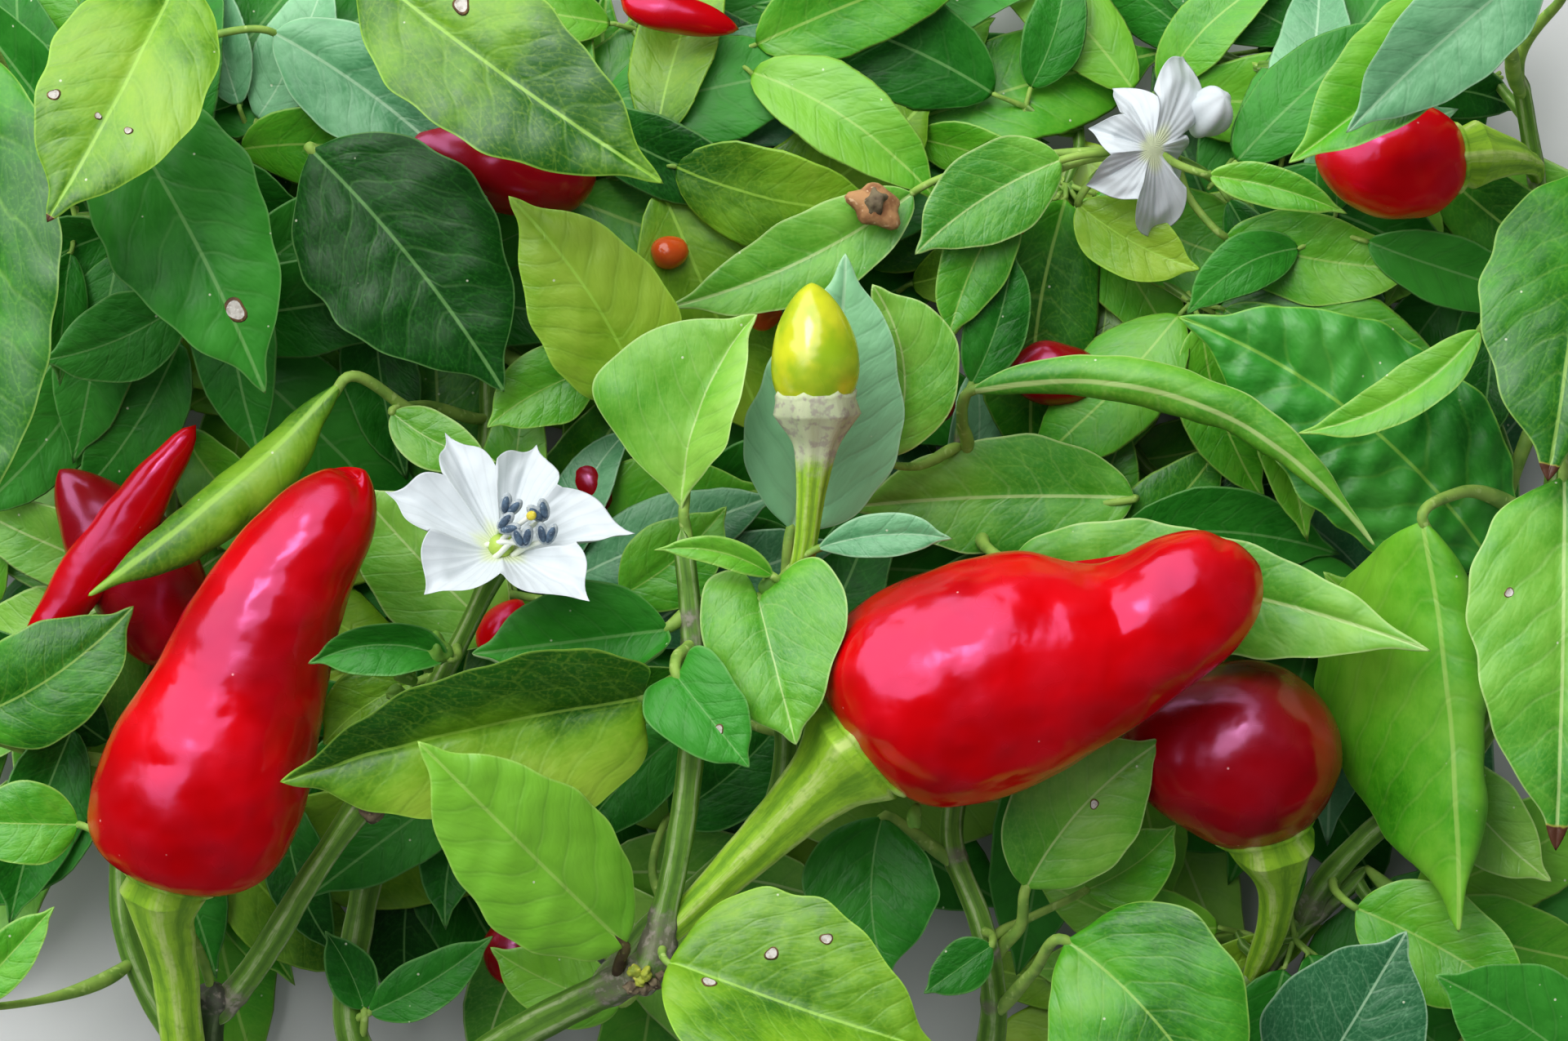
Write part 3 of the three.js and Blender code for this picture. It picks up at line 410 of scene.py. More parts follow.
def leaf_blade(name, dark, mid, light, vein, shader, quilt=1.0):
    """Living leaf blade: a fine net of cells and pale veins under a soft cuticle. paint holds the distance
    from the midrib, the distance from the margin, both in millimetres, and the count of side veins. A tone
    below -0.6 is scorched tissue."""
    material, tree, place = surface(name, shader)
    paint = add(tree, "Attribute", output="Vector", attribute_name="paint")
    tone = add(tree, "Attribute", output="Fac", attribute_name="tone")
    across, edge, count = add(tree, "SeparateXYZ", {0: paint}).node.outputs
    out = add(tree, "Math", {0: across}, operation="ABSOLUTE")
    # Broad patches, about 15 mm, and cloudy ones of 3 mm
    broad = add(tree, "TexNoise", {"Vector": place, "Scale": 60, "Detail": 1})
    cloudy = add(tree, "TexNoise", {"Vector": place, "Scale": 330, "Detail": 3, "Roughness": 0.65})
    both = add(tree, "Math", {0: cloudy, 1: 0.4, 2: broad}, operation="MULTIPLY_ADD")
    toned = add(tree, "Math", {0: tone, 1: 0.5, 2: both}, operation="MULTIPLY_ADD")
    bright = add(tree, "MapRange", {0: toned, 1: 0.8, 2: 1.3}, **SMOOTH)
    deep = add(tree, "MapRange", {0: toned, 1: 0.95, 2: 0.6}, **SMOOTH)
    # Nets of the smaller veins in the leaf's own plane: meshes of 1 mm, in meshes of 3 mm that follow the
    # side veins
    along = add(tree, "Math", {0: count, 1: 3.6}, operation="MULTIPLY")
    flat = add(tree, "CombineXYZ", {0: across, 1: along})
    nets = {"feature": "DISTANCE_TO_EDGE", "voronoi_dimensions": "2D"}
    net = add(tree, "TexVoronoi", {"Vector": flat, "Scale": 0.95}, **nets)
    wide = add(tree, "TexVoronoi", {"Vector": flat, "Scale": 0.32}, **nets)
    small_mask = add(tree, "MapRange", {0: net, 1: 0.14, 2: 0.0, 4: 0.08}, **SMOOTH)
    wide_mask = add(tree, "MapRange", {0: wide, 1: 0.05, 2: 0.0, 4: 0.14}, **SMOOTH)
    # Side veins where the count passes a whole number, fading towards the margin
    shifted = add(tree, "Math", {0: count, 1: 0.5}, operation="ADD")
    part = add(tree, "Math", {0: shifted}, operation="FRACT")
    off = add(tree, "Math", {0: part, 1: 0.5}, operation="SUBTRACT")
    off = add(tree, "Math", {0: off}, operation="ABSOLUTE")
    side = add(tree, "MapRange", {0: off, 1: 0.085, 2: 0.0}, **SMOOTH)
    fade = add(tree, "MapRange", {0: edge, 1: 0.6, 2: 6.0, 3: 0.02, 4: 0.14})
    side_mask = add(tree, "Math", {0: side, 1: fade}, operation="MULTIPLY")
    beside = add(tree, "MapRange", {0: off, 1: 0.22, 2: 0.04, 4: 0.12}, **SMOOTH)
    rib = add(tree, "MapRange", {0: out, 1: 0.26, 2: 0.1, 4: 0.6}, **SMOOTH)
    rim = add(tree, "MapRange", {0: edge, 1: 0.3, 2: 0.08, 4: 0.5}, **SMOOTH)
    burnt = add(tree, "Math", {0: cloudy, 1: -0.9, 2: tone}, operation="MULTIPLY_ADD")
    burn = add(tree, "MapRange", {0: burnt, 1: -1.25, 2: -1.4}, **SMOOTH)
    sere = add(tree, "MapRange", {0: burnt, 1: -1.1, 2: -1.3, 4: 0.7}, **SMOOTH)
    # Grains of 0.3 mm
    grain = add(tree, "TexNoise", {"Vector": place, "Scale": 2600, "Detail": 2})
    grained = add(tree, "MapRange", {0: grain, 1: 0.5, 2: 0.7, 4: 0.16}, **SMOOTH)
    # Dust 0.25 mm across, about 1.6 mm apart
    dust = scattered(tree, place, 640, 0.11, 0.05, 0.75)
    colour = layered(
        tree, mid, (deep, dark), (bright, light), (beside, dark), (grained, light), (small_mask, light),
        (wide_mask, light), (side_mask, vein), (rim, vein), (rib, vein), (sere, linear("#b5a544")),
        (burn, linear("#54301c")), (dust, linear("#dde4c4")),
    )
    dull = add(tree, "MapRange", {0: cloudy, 1: 0.3, 2: 0.7, 3: 0.36, 4: 0.52})
    # Heights in millimetres
    net_height = add(tree, "MapRange", {0: net, 1: 0.0, 2: 0.3, 4: 0.009 * quilt}, **SMOOTH)
    wide_height = add(tree, "MapRange", {0: wide, 1: 0.0, 2: 0.35, 4: 0.03 * quilt}, **SMOOTH)
    height = add(tree, "Math", {0: net_height, 1: wide_height}, operation="ADD")
    height = add(tree, "Math", {0: side, 1: -0.018, 2: height}, operation="MULTIPLY_ADD")
    bumpy = add(tree, "Bump", {"Strength": 1.0, "Distance": 1.0 * MM, "Height": height})
    return fed(material, {"Base Color": colour, "Roughness": dull, "Normal": bumpy})


def cortex(name, base, stripe, shade, joint, shader, ribs=5, stripes=0.65):
    """Green stem skin: ribs with pale corky stripes along their crests, darker in the furrows, fine lines
    along it, and another colour with corky flecks where the tone is high. paint holds the cosine and sine
    of the turn round the stem and the length in millimetres; tone says how near a joint or calyx is."""
    material, tree, place = surface(name, shader)
    paint = add(tree, "Attribute", output="Vector", attribute_name="paint")
    tone = add(tree, "Attribute", output="Fac", attribute_name="tone")
    cosine, sine, length = add(tree, "SeparateXYZ", {0: paint}).node.outputs
    turn = add(tree, "Math", {0: sine, 1: cosine}, operation="ARCTAN2")
    twist = add(tree, "Math", {0: length, 1: RIB_TWIST}, operation="MULTIPLY")
    phase = add(tree, "Math", {0: turn, 1: ribs, 2: twist}, operation="MULTIPLY_ADD")
    rib = add(tree, "Math", {0: phase}, operation="COSINE")
    # Lines that run 12 mm along and 0.5 mm across
    drawn = add(tree, "Mapping", {"Vector": paint, "Scale": (3.2, 3.2, 0.16)})
    lines = add(tree, "TexNoise", {"Vector": drawn, "Scale": 1.6, "Detail": 4, "Roughness": 0.65})
    clouds = add(tree, "TexNoise", {"Vector": place, "Scale": 420, "Detail": 4, "Roughness": 0.6})
    broken = add(tree, "Math", {0: lines, 1: 3.0, 2: rib}, operation="MULTIPLY_ADD")
    crest = add(tree, "MapRange", {0: broken, 1: 1.8, 2: 2.9, 4: stripes}, **SMOOTH)
    # Painted shade in the furrows between the ribs, over their own darker green
    furrow_shade = add(tree, "MapRange", {0: broken, 1: 1.5, 2: 0.2, 4: 0.8}, **SMOOTH)
    near = add(tree, "Math", {0: clouds, 1: 2.4, 2: tone}, operation="MULTIPLY_ADD")
    mottled = add(tree, "MapRange", {0: near, 1: 1.5, 2: 2.5, 4: 0.8}, **SMOOTH)
    flecks = add(tree, "TexNoise", {"Vector": place, "Scale": 1100, "Detail": 3})
    flecked = add(tree, "MapRange", {0: flecks, 1: 0.5, 2: 0.65}, **SMOOTH)
    corky = add(tree, "Math", {0: flecked, 1: mottled}, operation="MULTIPLY")
    dappled = add(tree, "Math", {0: flecked, 1: 0.3}, operation="MULTIPLY")
    layers = ((furrow_shade, shade), (crest, stripe), (dappled, shade), (mottled, joint), (corky, "#a59e90"))
    colour = layered(tree, linear(base), *((mask, linear(code)) for mask, code in layers))
    grain = add(tree, "TexNoise", {"Vector": place, "Scale": 1500, "Detail": 3})
    bump = add(tree, "Bump", {"Strength": 0.5, "Distance": 0.14 * MM, "Height": lines})
    for height, depth in ((clouds, 0.12), (grain, 0.05)):
        bump = add(tree, "Bump", {"Strength": 0.3, "Distance": depth * MM, "Height": height, "Normal": bump})
    return fed(material, {"Base Color": colour, "Normal": bump})


def soft_tissue(name, base, shade, spot, shader, scale=500.0, bump=0.2):
    """Plain living tissue: cloudy between two colours, finely grained, with some spots of a third."""
    material, tree, place = surface(name, shader)
    clouds = add(tree, "TexNoise", {"Vector": place, "Scale": scale, "Detail": 3})
    shaded = add(tree, "MapRange", {0: clouds, 1: 0.4, 2: 0.68}, **SMOOTH)
    spots = add(tree, "TexNoise", {"Vector": place, "Scale": scale * 2.3, "Detail": 1})
    spotted = add(tree, "MapRange", {0: spots, 1: 0.62, 2: 0.72}, **SMOOTH)
    colour = layered(tree, linear(base), (shaded, linear(shade)), (spotted, linear(spot)))
    grain = add(tree, "TexNoise", {"Vector": place, "Scale": scale * 5, "Detail": 2})
    rough = add(tree, "Bump", {"Strength": bump, "Distance": 0.08 * MM, "Height": grain})
    return fed(material, {"Base Color": colour, "Normal": rough})


def petal_tissue(name, petal_colour):
    """Petal: matt white with grey-white veins that fan out from the throat, greener towards it. paint holds
    the fan's angle times its vein count, the share of the reach, and the share across a lobe."""
    shader = {"Roughness": 0.55, "IOR": 1.4, "Sheen Weight": 0.25, "Sheen Roughness": 0.4}
    material, tree, place = surface(name, shader)
    paint = add(tree, "Attribute", output="Vector", attribute_name="paint")
    fan, reach, _ = add(tree, "SeparateXYZ", {0: paint}).node.outputs
    lines = add(tree, "Math", {0: fan}, operation="SINE")
    veins = add(tree, "MapRange", {0: lines, 1: 0.75, 2: 1.0, 4: 0.3}, **SMOOTH)
    throat = add(tree, "MapRange", {0: reach, 1: 0.34, 2: 0.16, 4: 0.75}, **SMOOTH)
    clouds = add(tree, "TexNoise", {"Vector": place, "Scale": 600, "Detail": 4})
    cloudy = add(tree, "MapRange", {0: clouds, 1: 0.45, 2: 0.75, 4: 0.6}, **SMOOTH)
    shaded, lined = scaled(petal_colour, 0.9), scaled(petal_colour, 0.76)
    colour = layered(tree, petal_colour, (cloudy, shaded), (veins, lined), (throat, linear("#c8d49a")))
    ribbed_petal = add(tree, "Bump", {"Strength": 0.35, "Distance": 0.08 * MM, "Height": lines})
    cells = add(tree, "TexNoise", {"Vector": place, "Scale": 2400, "Detail": 2})
    fine = {"Strength": 0.25, "Distance": 0.04 * MM, "Height": cells, "Normal": ribbed_petal}
    return fed(material, {"Base Color": colour, "Normal": add(tree, "Bump", fine)})


def build_materials():
    """All the finishes, by name."""
    plant = bpy.context.scene.pepper_plant
    wax = {"IOR": 1.62, "Specular IOR Level": 0.7, "Specular Tint": linear("#ffa2f0")}
    deep_wax = {"IOR": 1.64, "Specular IOR Level": 0.95, "Specular Tint": linear("#ffb0f0")}
    pale_wax = {"IOR": 1.5, "Specular IOR Level": 0.8}
    cuticle = {"IOR": 1.45, "Specular IOR Level": 0.7}
    thin_cuticle = {"IOR": 1.45, "Specular IOR Level": 0.32}
    matt = {"IOR": 1.4, "Roughness": 0.6}
    dry = {"Roughness": 0.8}
    made = {}
    # The skin's colour, the colour of its darker clouds where it isn't a darker copy of the skin's, and that
    # of its specks
    for finish, colour, deep, speck, shader, more in (
        ("ripe", plant.ripe, None, "#f0a8a0", wax, {}),
        ("crimson", plant.dark_ripe, None, "#e8a0a0", deep_wax, {"gloss": (0.18, 0.32)}),
        ("unripe", plant.unripe, "#93b81a", "#f3f0a0", pale_wax, {"patches": 230.0}),
    ):
        hollow = linear(deep) if deep else scaled(colour, 0.66)
        skin = (scaled(colour, 1), hollow, scaled(colour, 1.2), linear(speck))
        made[finish] = pericarp(finish + "_pericarp", *skin, shader, **more)
    turning = (linear(code) for code in ("#d8541c", "#b8300f", "#ea7d2c", "#ffd8b0"))
    made["turning"] = pericarp("turning_pericarp", *turning, pale_wax)
    # Dark, middle and light green, then the veins; how deep the net of veins is sunk
    for finish, name, codes, shader, quilt in (
        ("mid", "leaf_mid_green", "#1c6c08 #41a00e #7abf2c #a6d060", cuticle, 1.0),
        ("light", "leaf_light_green", "#348a18 #60ac24 #92c94c #c4de8e", cuticle, 1.0),
        ("yellowish", "leaf_yellow_green", "#1e6206 #70aa12 #9cc234 #a8dc4c", cuticle, 1.0),
        ("dark", "leaf_dark_green", "#0b480a #1a7014 #3a942a #78b060", thin_cuticle, 1.3),
        ("quilted", "leaf_quilted_green", "#0c5c0c #1f861a #4aa836 #98d04c", cuticle, 1.5),
        ("blue", "leaf_blue_green", "#22683a #459058 #86c690 #b0d8ac", cuticle, 1.0),
        ("under", "leaf_underside", "#548545 #6f9e5a #89b172 #b8cf98", cuticle, 1.0),
    ):
        made[finish] = leaf_blade(name, *map(linear, codes.split()), shader, quilt)
    # The skin, its stripes, its furrows (their own darker green with painted shade) and its joints; then the
    # ribs and the strength of the stripes
    for finish, name, codes, ribs, stripes in (
        ("stem", "ridged_cortex", "#66952f #b3c690 #44701f #756c62", 5, 0.72),
        # A darker copy of the stem's skin: painted shade for the left bough, which lies in the shadow of the
        # left stalk
        ("painted_shade_stem", "painted_shade_cortex", "#465f34 #76885e #34472c #5c5254", 5, 0.65),
        ("stalk", "pedicel_cortex", "#98c82c #cfe08a #5f961a #8c9a58", 5, 0.7),
        ("young_stalk", "young_pedicel_cortex", "#98c82c #cfe08a #6f9a2a #c9ccb0", 7, 0.6),
    ):
        made[finish] = cortex(name, *codes.split(), matt, ribs, stripes)
    # The tissue, its clouds and its spots; then how fine the clouds are and how rough it is
    for finish, name, codes, shader, *more in (
        ("rib", "midrib_tissue", "#94b850 #76a040 #aac86c", matt),
        ("brown_rib", "shaded_petiole", "#5d5230 #463626 #7d8440", matt),
        ("bud", "bud_tissue", "#6f9f38 #55892e #9abc5c", matt),
        ("young_bud", "opening_bud", "#a9b23c #7f9430 #cbc660", matt, 900.0, 0.5),
        ("cork", "scar_cork", "#776a50 #493b2a #958768", {"Roughness": 0.85}, 700.0, 0.6),
        ("pith", "fresh_pith", "#dfe3b8 #c6cf98 #eef0d8", matt),
        ("anther", "anther_skin", "#526a80 #38495c #8898a4", matt, 1500.0),
        ("pollen", "pollen_dust", "#aeb8bc #8d9aa2 #d2d6cb", {"Roughness": 0.9}, 3000.0, 0.5),
        ("stigma", "stigma_tissue", "#d0c236 #b8a626 #e4da74", matt, 2000.0),
        ("filament", "filament_tissue", "#e2e6dc #d2dcc0 #eef0e8", matt),
        ("ovary", "ovary_tissue", "#a9c44c #8db03c #c0d070", {"Roughness": 0.35}),
        ("dead", "dead_leaf_tissue", "#cfccc2 #a89f92 #e4e1da", dry, 1800.0, 0.5),
        ("withered", "withered_petals", "#b98a5a #8a5c36 #d8b48a", dry, 600.0, 0.6),
        ("scorch", "scorched_leaf_tissue", "#6e5230 #503824 #8f7048", dry, 900.0, 0.5),
        ("board", "matt_board", "#d2d4d2 #cfd1cf #d3d5d3", {"Roughness": 0.9}, 30.0, 0.02),
    ):
        made[finish] = soft_tissue(name, *codes.split(), shader, *more)
    made["petal"] = petal_tissue("petal_tissue", scaled(plant.petal, 1))
    return made


FINISHES = {}


def finishes(*names):
    return [FINISHES[name] for name in names]


# leaves
ACROSS = np.array([-1, -0.5, 0, 0.5, 1])


def leaf_net(name):
    """A leaf solid's net of points, five across at each station from base to tip, and its petiole."""
    _, rings, last = node_loft(name, wide_first=False)
    sides = rings.shape[1]
    half, quarter = sides // 2, sides // 4
    blade = rings[3:]
    spans = [np.linalg.norm(blade[:, i] - blade[:, i + half], axis=1).sum() for i in range(half)]
    rings = np.roll(rings, -int(np.argmax(spans)), axis=1)
    if rings[3:, quarter, 2].mean() < rings[3:, -quarter, 2].mean():
        rings = rings[:, (-np.arange(sides)) % sides]
    blade = rings[3:]
    middle = len(blade) // 2
    forward = blade[middle + 1].mean(axis=0) - blade[middle - 1].mean(axis=0)
    normal = blade[middle, quarter] - blade[middle, -quarter]
    if np.cross(forward, normal).dot(blade[middle, 0] - blade[middle, half]) < 0:
        rings = rings[:, (half - np.arange(sides)) % sides]
    blade = rings[3:]
    if sides == 8:
        net = blade[:, [4, 3, 2, 1, 0]]
    else:
        left, rib, right = blade[:, 2], blade[:, 1], blade[:, 0]
        net = np.stack([left, (left + rib) / 2, rib, (rib + right) / 2, right], axis=1)
    petiole = rings[:3].mean(axis=1)
    base, tip = np.repeat(petiole[2:3], 5, axis=0), np.repeat(last[None], 5, axis=0)
    return np.concatenate([base[None], net, tip[None]]), petiole


def drawn_net(base, tip, width, arch=0.0, sweep=0.0, fold=10.0, curl=-8.0, roll=0.0, belly=0.4):
    """The same kind of net for a leaf drawn from the ends of its midrib, with lengths in metres. belly says
    how far along it is widest."""
    chord = tip - base
    length = np.linalg.norm(chord)
    chord = chord / length
    up = unit(np.array([0, 0, 1.0]) - chord * chord[2])
    right = np.cross(chord, up)
    rows = []
    for u in (0.03, 0.11, 0.24, 0.4, 0.58, 0.76, 0.91):
        bulge, slope = 4 * u * (1 - u), 4 * (1 - 2 * u)
        centre = base + chord * length * u + up * bulge * arch + right * bulge * sweep
        forward = unit(chord * length + up * slope * arch + right * slope * sweep)
        turn = math.radians(roll)
        flat = unit(up - forward * up.dot(forward))
        normal = flat * math.cos(turn) + np.cross(forward, flat) * math.sin(turn)
        side = np.cross(forward, normal)
        half = width / 2 * math.sin(math.pi * u ** (math.log(0.5) / math.log(belly))) ** 0.8
        row = []
        for v in ACROSS:
            inner, outer = math.radians(fold + curl * 0.25), math.radians(fold + curl * 0.75)
            near, far = min(1, abs(v) * 2) * half / 2, max(0, abs(v) * 2 - 1) * half / 2
            reach = np.sign(v) * (near * math.cos(inner) + far * math.cos(outer))
            rise = near * math.sin(inner) + far * math.sin(outer)
            row.append(centre + side * reach + normal * rise)
        rows.append(row)
    ends = [np.repeat(point[None], 5, axis=0)[None] for point in (base, tip)]
    return np.concatenate([ends[0], np.array(rows), ends[1]])


def rolled(net, left, right):
    """The net with its sides turned down round the midrib. left and right each give the share of that
    side's reach that still shows, and the angle in degrees that it turns through."""
    net = net.copy()
    rib = net[:, 2].copy()
    forward = unit(np.gradient(rib, axis=0))
    side = net[:, 4] - net[:, 0]
    side = unit(side - forward * (side * forward).sum(axis=1, keepdims=True))
    normal = np.cross(side, forward)
    for sign, (share, degrees) in ((-1, left), (1, right)):
        angle = math.radians(degrees)
        reach = np.linalg.norm(net[:, 2 + 2 * sign] - rib, axis=1, keepdims=True)
        radius = share * reach / math.sin(min(angle, math.pi / 2))
        for step in (1, 2):
            turn = angle * step / 2
            down = normal * radius * (1 - math.cos(turn))
            net[:, 2 + sign * step] = rib + side * sign * radius * math.sin(turn) - down
    return net


# What a leaf of the masses must not cut: search trees with their corners
BLOCKERS = []


def net_tree(points):
    """A search tree of a grid of points, with its lowest and highest corners."""
    rows, columns = points.shape[:2]
    index = np.arange(rows * columns).reshape(rows, columns)
    faces = np.stack([index[:-1, :-1], index[1:, :-1], index[1:, 1:], index[:-1, 1:]], axis=-1)
    flat = points.reshape(-1, 3)
    tree = BVHTree.FromPolygons(flat.tolist(), faces.reshape(-1, 4).tolist())
    return flat.min(axis=0), flat.max(axis=0), tree


def object_tree(piece):
    """A search tree of a made piece."""
    points = [tuple(v.co) for v in piece.data.vertices]
    return BVHTree.FromPolygons(points, [tuple(p.vertices) for p in piece.data.polygons])


def in_reach(points):
    """Whether the points stay within a little of the frame's own box."""
    return (np.abs(points[..., :2]) < np.array(CAD_BOX[1][:2]) + 4 * MM).all()


def clashes(points):
    low, high, tree = net_tree(points)
    near = (b for b in BLOCKERS if (low < b[1]).all() and (b[0] < high).all())
    return any(tree.overlap(b[2]) for b in near)


def blade(skin, net, grid, seed, relief, wave, tone, slots=(0, 1), scorched=0.0, painted_half_shading=0.0):
    """Adds a leaf blade on a net, with side veins sunk between pillows of tissue and a wavy margin. relief
    is the height of the pillows and wave that of the margin's waves, both in millimetres.
    scorched is the share of its length that is brown at the tip, and lean is how much lighter the right
    margin is than the midrib. Returns the midrib with the directions out of the blade there."""
    rows, columns = grid
    knots = chords(net, 0.6)
    net = spline(knots, net, np.linspace(0, knots[-1], rows))
    # Columns are closer together at the margins, where the blade thins out
    v = np.sin(np.linspace(-math.pi / 2, math.pi / 2, columns))
    w = np.abs(v)[None, :, None]
    weights = ((1 - 2 * w) * (1 - w), 4 * w * (1 - w), w * (2 * w - 1))
    left = sum(weight * net[:, None, i] for weight, i in zip(weights, (2, 1, 0)))
    right = sum(weight * net[:, None, i] for weight, i in zip(weights, (2, 3, 4)))
    surface_points = np.where(v[None, :, None] >= 0, right, left)
    rib = net[:, 2]
    along = chords(rib) / MM
    length = along[-1]
    share = along / length
    # The tip is drawn out, and the outline a little uneven
    drawn = 1 - 0.42 * np.exp(-(((share - 0.92) / 0.075) ** 2))
    uneven = 1 + 0.025 * np.sin(along[:, None] / 1.9 + seed * 3 + 2 * np.sign(v)[None])
    uneven = uneven + 0.02 * np.sin(along[:, None] / 0.9 + seed * 5 + np.sign(v)[None])
    squeeze = (drawn[:, None] * uneven)[..., None]
    surface_points = rib[:, None] + (surface_points - rib[:, None]) * squeeze
    margins = [np.linalg.norm(surface_points[:, i] - rib, axis=1) / MM for i in (0, -1)]
    reach = np.where(v[None] >= 0, margins[1][:, None], margins[0][:, None])
    out = reach * v[None]
    edge = reach * (1 - np.abs(v[None]))
    spacing = max(2.4, length / 8)
    distance = np.abs(out)
    drift = 0.2 * np.sin(share * 8 + seed)[:, None] * np.sign(v)[None]
    drift = drift + 0.05 * np.sin(distance * 0.9 + along[:, None] * 0.7 + seed)
    count = (along[:, None] - 0.7 * distance - 0.035 * distance**2) / spacing + drift + 40.5 + int(seed * 7)
    side = np.gradient(surface_points, axis=1)
    forward = np.gradient(surface_points, axis=0)
    normal = np.cross(side, forward)
    normal[0] = normal[1]
    normal[-1] = normal[-2]
    normal = unit(normal)
    pillow = np.abs(np.sin(np.pi * count)) ** 0.8
    room = np.minimum(1, distance / 1.5) * np.minimum(1, edge / 2.0)
    groove = np.exp(-((distance / 0.4) ** 2)) * np.minimum(1, reach / 2)
    rippled = np.abs(v[None]) ** 2.5 * np.minimum(1, reach / 4)
    waves = np.sin(along[:, None] / 4.6 + seed * 1.7 + 1.3 * np.sign(v)[None])
    waves = waves + 0.6 * np.sin(along[:, None] / 2.7 + seed * 2.9 + 2.1 * np.sign(v)[None])
    small = lumps(surface_points, 7 * MM, seed) * np.minimum(1, reach / 3)
    fine = lumps(surface_points, 2.6 * MM, seed + 3) * np.minimum(1, reach / 3)
    height = relief * (pillow * room + 0.35 * fine) - 0.14 * groove + wave * rippled * waves + 0.22 * small
    surface_points = surface_points + normal * (height * MM)[..., None]
    body = bpy.context.scene.pepper_plant.leaf_thickness / 2 * (1 - np.abs(v) ** 6)[None, :, None]
    upper = surface_points + normal * body
    under = (surface_points - normal * body)[:, columns - 2 : 0 : -1]
    rings = np.concatenate([upper, under], axis=1)[1:-1]
    # A short leaf has a finer midrib
    paint = np.stack([out * max(1, 32 / length), edge, count], axis=-1)
    paint = np.concatenate([paint, paint[:, columns - 2 : 0 : -1]], axis=1)[1:-1]
    tones = np.full(rows, float(tone))
    if scorched:
        tones -= smooth_step(1 - 2.2 * scorched, 1 - 0.4 * scorched, share) * (1.7 + tone)
    # Painted light and shade: one margin lighter and the other darker, as if the blade's halves faced the
    # light differently
    painted_shading = np.maximum(tone + painted_half_shading * paint[..., 0] / np.maximum(reach.max(), 1), -0.45) - tone
    tones = tones[1:-1, None] + painted_shading
    side_slots = np.where(np.arange(rings.shape[1]) < columns - 1, slots[0], slots[1])
    middle = columns // 2
    skin.loft(rings, surface_points[0, middle], surface_points[-1, middle], paint, tones, side_slots)
    BLOCKERS.append(net_tree(surface_points[:: max(1, rows // 9), :: max(1, columns // 6)]))
    return surface_points[:, middle], normal[:, middle]


def stem_of_leaf(skin, petiole, rib, normal, slot, thick=0.62, sides=8, tone=0.5):
    """Adds the petiole, which runs on below the blade as the midrib."""
    rows = np.linspace(0.06, 0.86, 7)
    picked = (rows * (len(rib) - 1)).astype(int)
    fall = thick * (1 - rows) ** 0.8
    under = rib[picked] - normal[picked] * ((0.26 + 0.8 * fall) * MM)[:, None]
    foot = foot_of(None, petiole[0], unit(petiole[1] - petiole[0]))
    points = np.concatenate([[foot], petiole, under])
    radii = [thick * 0.8, thick * 1.15, thick, thick * 0.9, *(fall * 0.8 + 0.07)]
    rings = rod(skin, points, radii, 0.7, sides, slot, tone)
    if sides > 6:
        BLOCKERS.append(net_tree(rings[:, ::2]))


# Each leaf solid: its finish, the lightness of its tone, the height of its quilting in millimetres, its
# waviness, and the tone of its petiole
LEAVES = {
    "leaf_long_front": ("yellowish", 0.1, 0.12, 0.3, 0.5),
    "leaf_low_front": ("mid", 1.0, 0.13, 0.25, 0.1),
    "leaf_bottom": ("yellowish", 0.45, 0.12, 0.25, 0.35),
    "leaf_heart": ("light", 0.4, 0.1, 0.22, 0.5),
    "leaf_small_heart": ("dark", 1.3, 0.12, 0.2, 0.5),
    "leaf_dark_folded": ("dark", 0.9, 0.14, 0.3, 0.5),
    "leaf_blue_behind": ("blue", 1.2, 0.1, 0.2, 0.5),
    "leaf_folded_mid": ("light", 0.8, 0.12, 0.3, 0.15),
    "leaf_upper_mid": ("yellowish", 0.85, 0.16, 0.3, 0.5),
    "leaf_low_right": ("light", 0.35, 0.12, 0.3, 0.5),
    "leaf_dark_oval": ("dark", 0.7, 0.1, 0.3, 0.5),
    "leaf_round_bottom": ("mid", 0.15, 0.14, 0.3, 0.5),
    "leaf_bottom_right": ("blue", -0.3, 0.12, 0.3, 0.5),
    "leaf_behind_fruit": ("light", 0.45, 0.14, 0.25, 0.5),
    "leaf_hanging_right": ("mid", 0.7, 0.12, 0.35, 0.5),
    "leaf_right_edge": ("light", 0.3, 0.14, 0.25, 0.5),
    "leaf_right_top_edge": ("mid", 0.1, 0.16, 0.3, 0.5),
    "leaf_arched": ("light", 0.4, 0.12, 0.3, 0.5),
    "leaf_quilted": ("quilted", 0.6, 0.75, 0.5, 0.5),
    "leaf_top_right": ("mid", 0.5, 0.12, 0.3, 0.5),
    "leaf_top_left": ("yellowish", 0.2, 0.12, 0.3, 0.5),
    "leaf_left_edge": ("mid", -0.05, 0.12, 0.3, 0.5),
    "leaf_spotted_left": ("dark", 0.8, 0.12, 0.3, 0.5),
    "leaf_top_centre": ("yellowish", 0.0, 0.12, 0.3, 0.5),
    "leaf_rolled_left": ("yellowish", 0.3, 0.1, 0.3, 0.5),
    "leaf_dark_left": ("dark", -0.2, 0.12, 0.3, 0.5),
}
LEAF_TREES = {}
# Leaves with rolled sides: what still shows of each side and how far down it turns. Left and right as
# seen from above, looking from base to tip.
ROLLED = {
    "leaf_hanging_right": ((0.22, 150), (1.5, 25)),
    "leaf_rolled_left": ((0.44, 150), (0.42, 165)),
    "leaf_arched": ((0.5, 50), (0.3, 130)),
    "leaf_dark_folded": ((0.3, -150), (1.0, 12)),
}
# The share of each side's reach that is kept, left and right, and the share of the length over which the
# blade widens from a narrow base
TRIMMED = {
    "leaf_long_front": (1.0, 0.8, 0.0),
    "leaf_behind_fruit": (0.78, 1.0, 0.0),
    "leaf_folded_mid": (1.0, 0.55, 0.48),
}
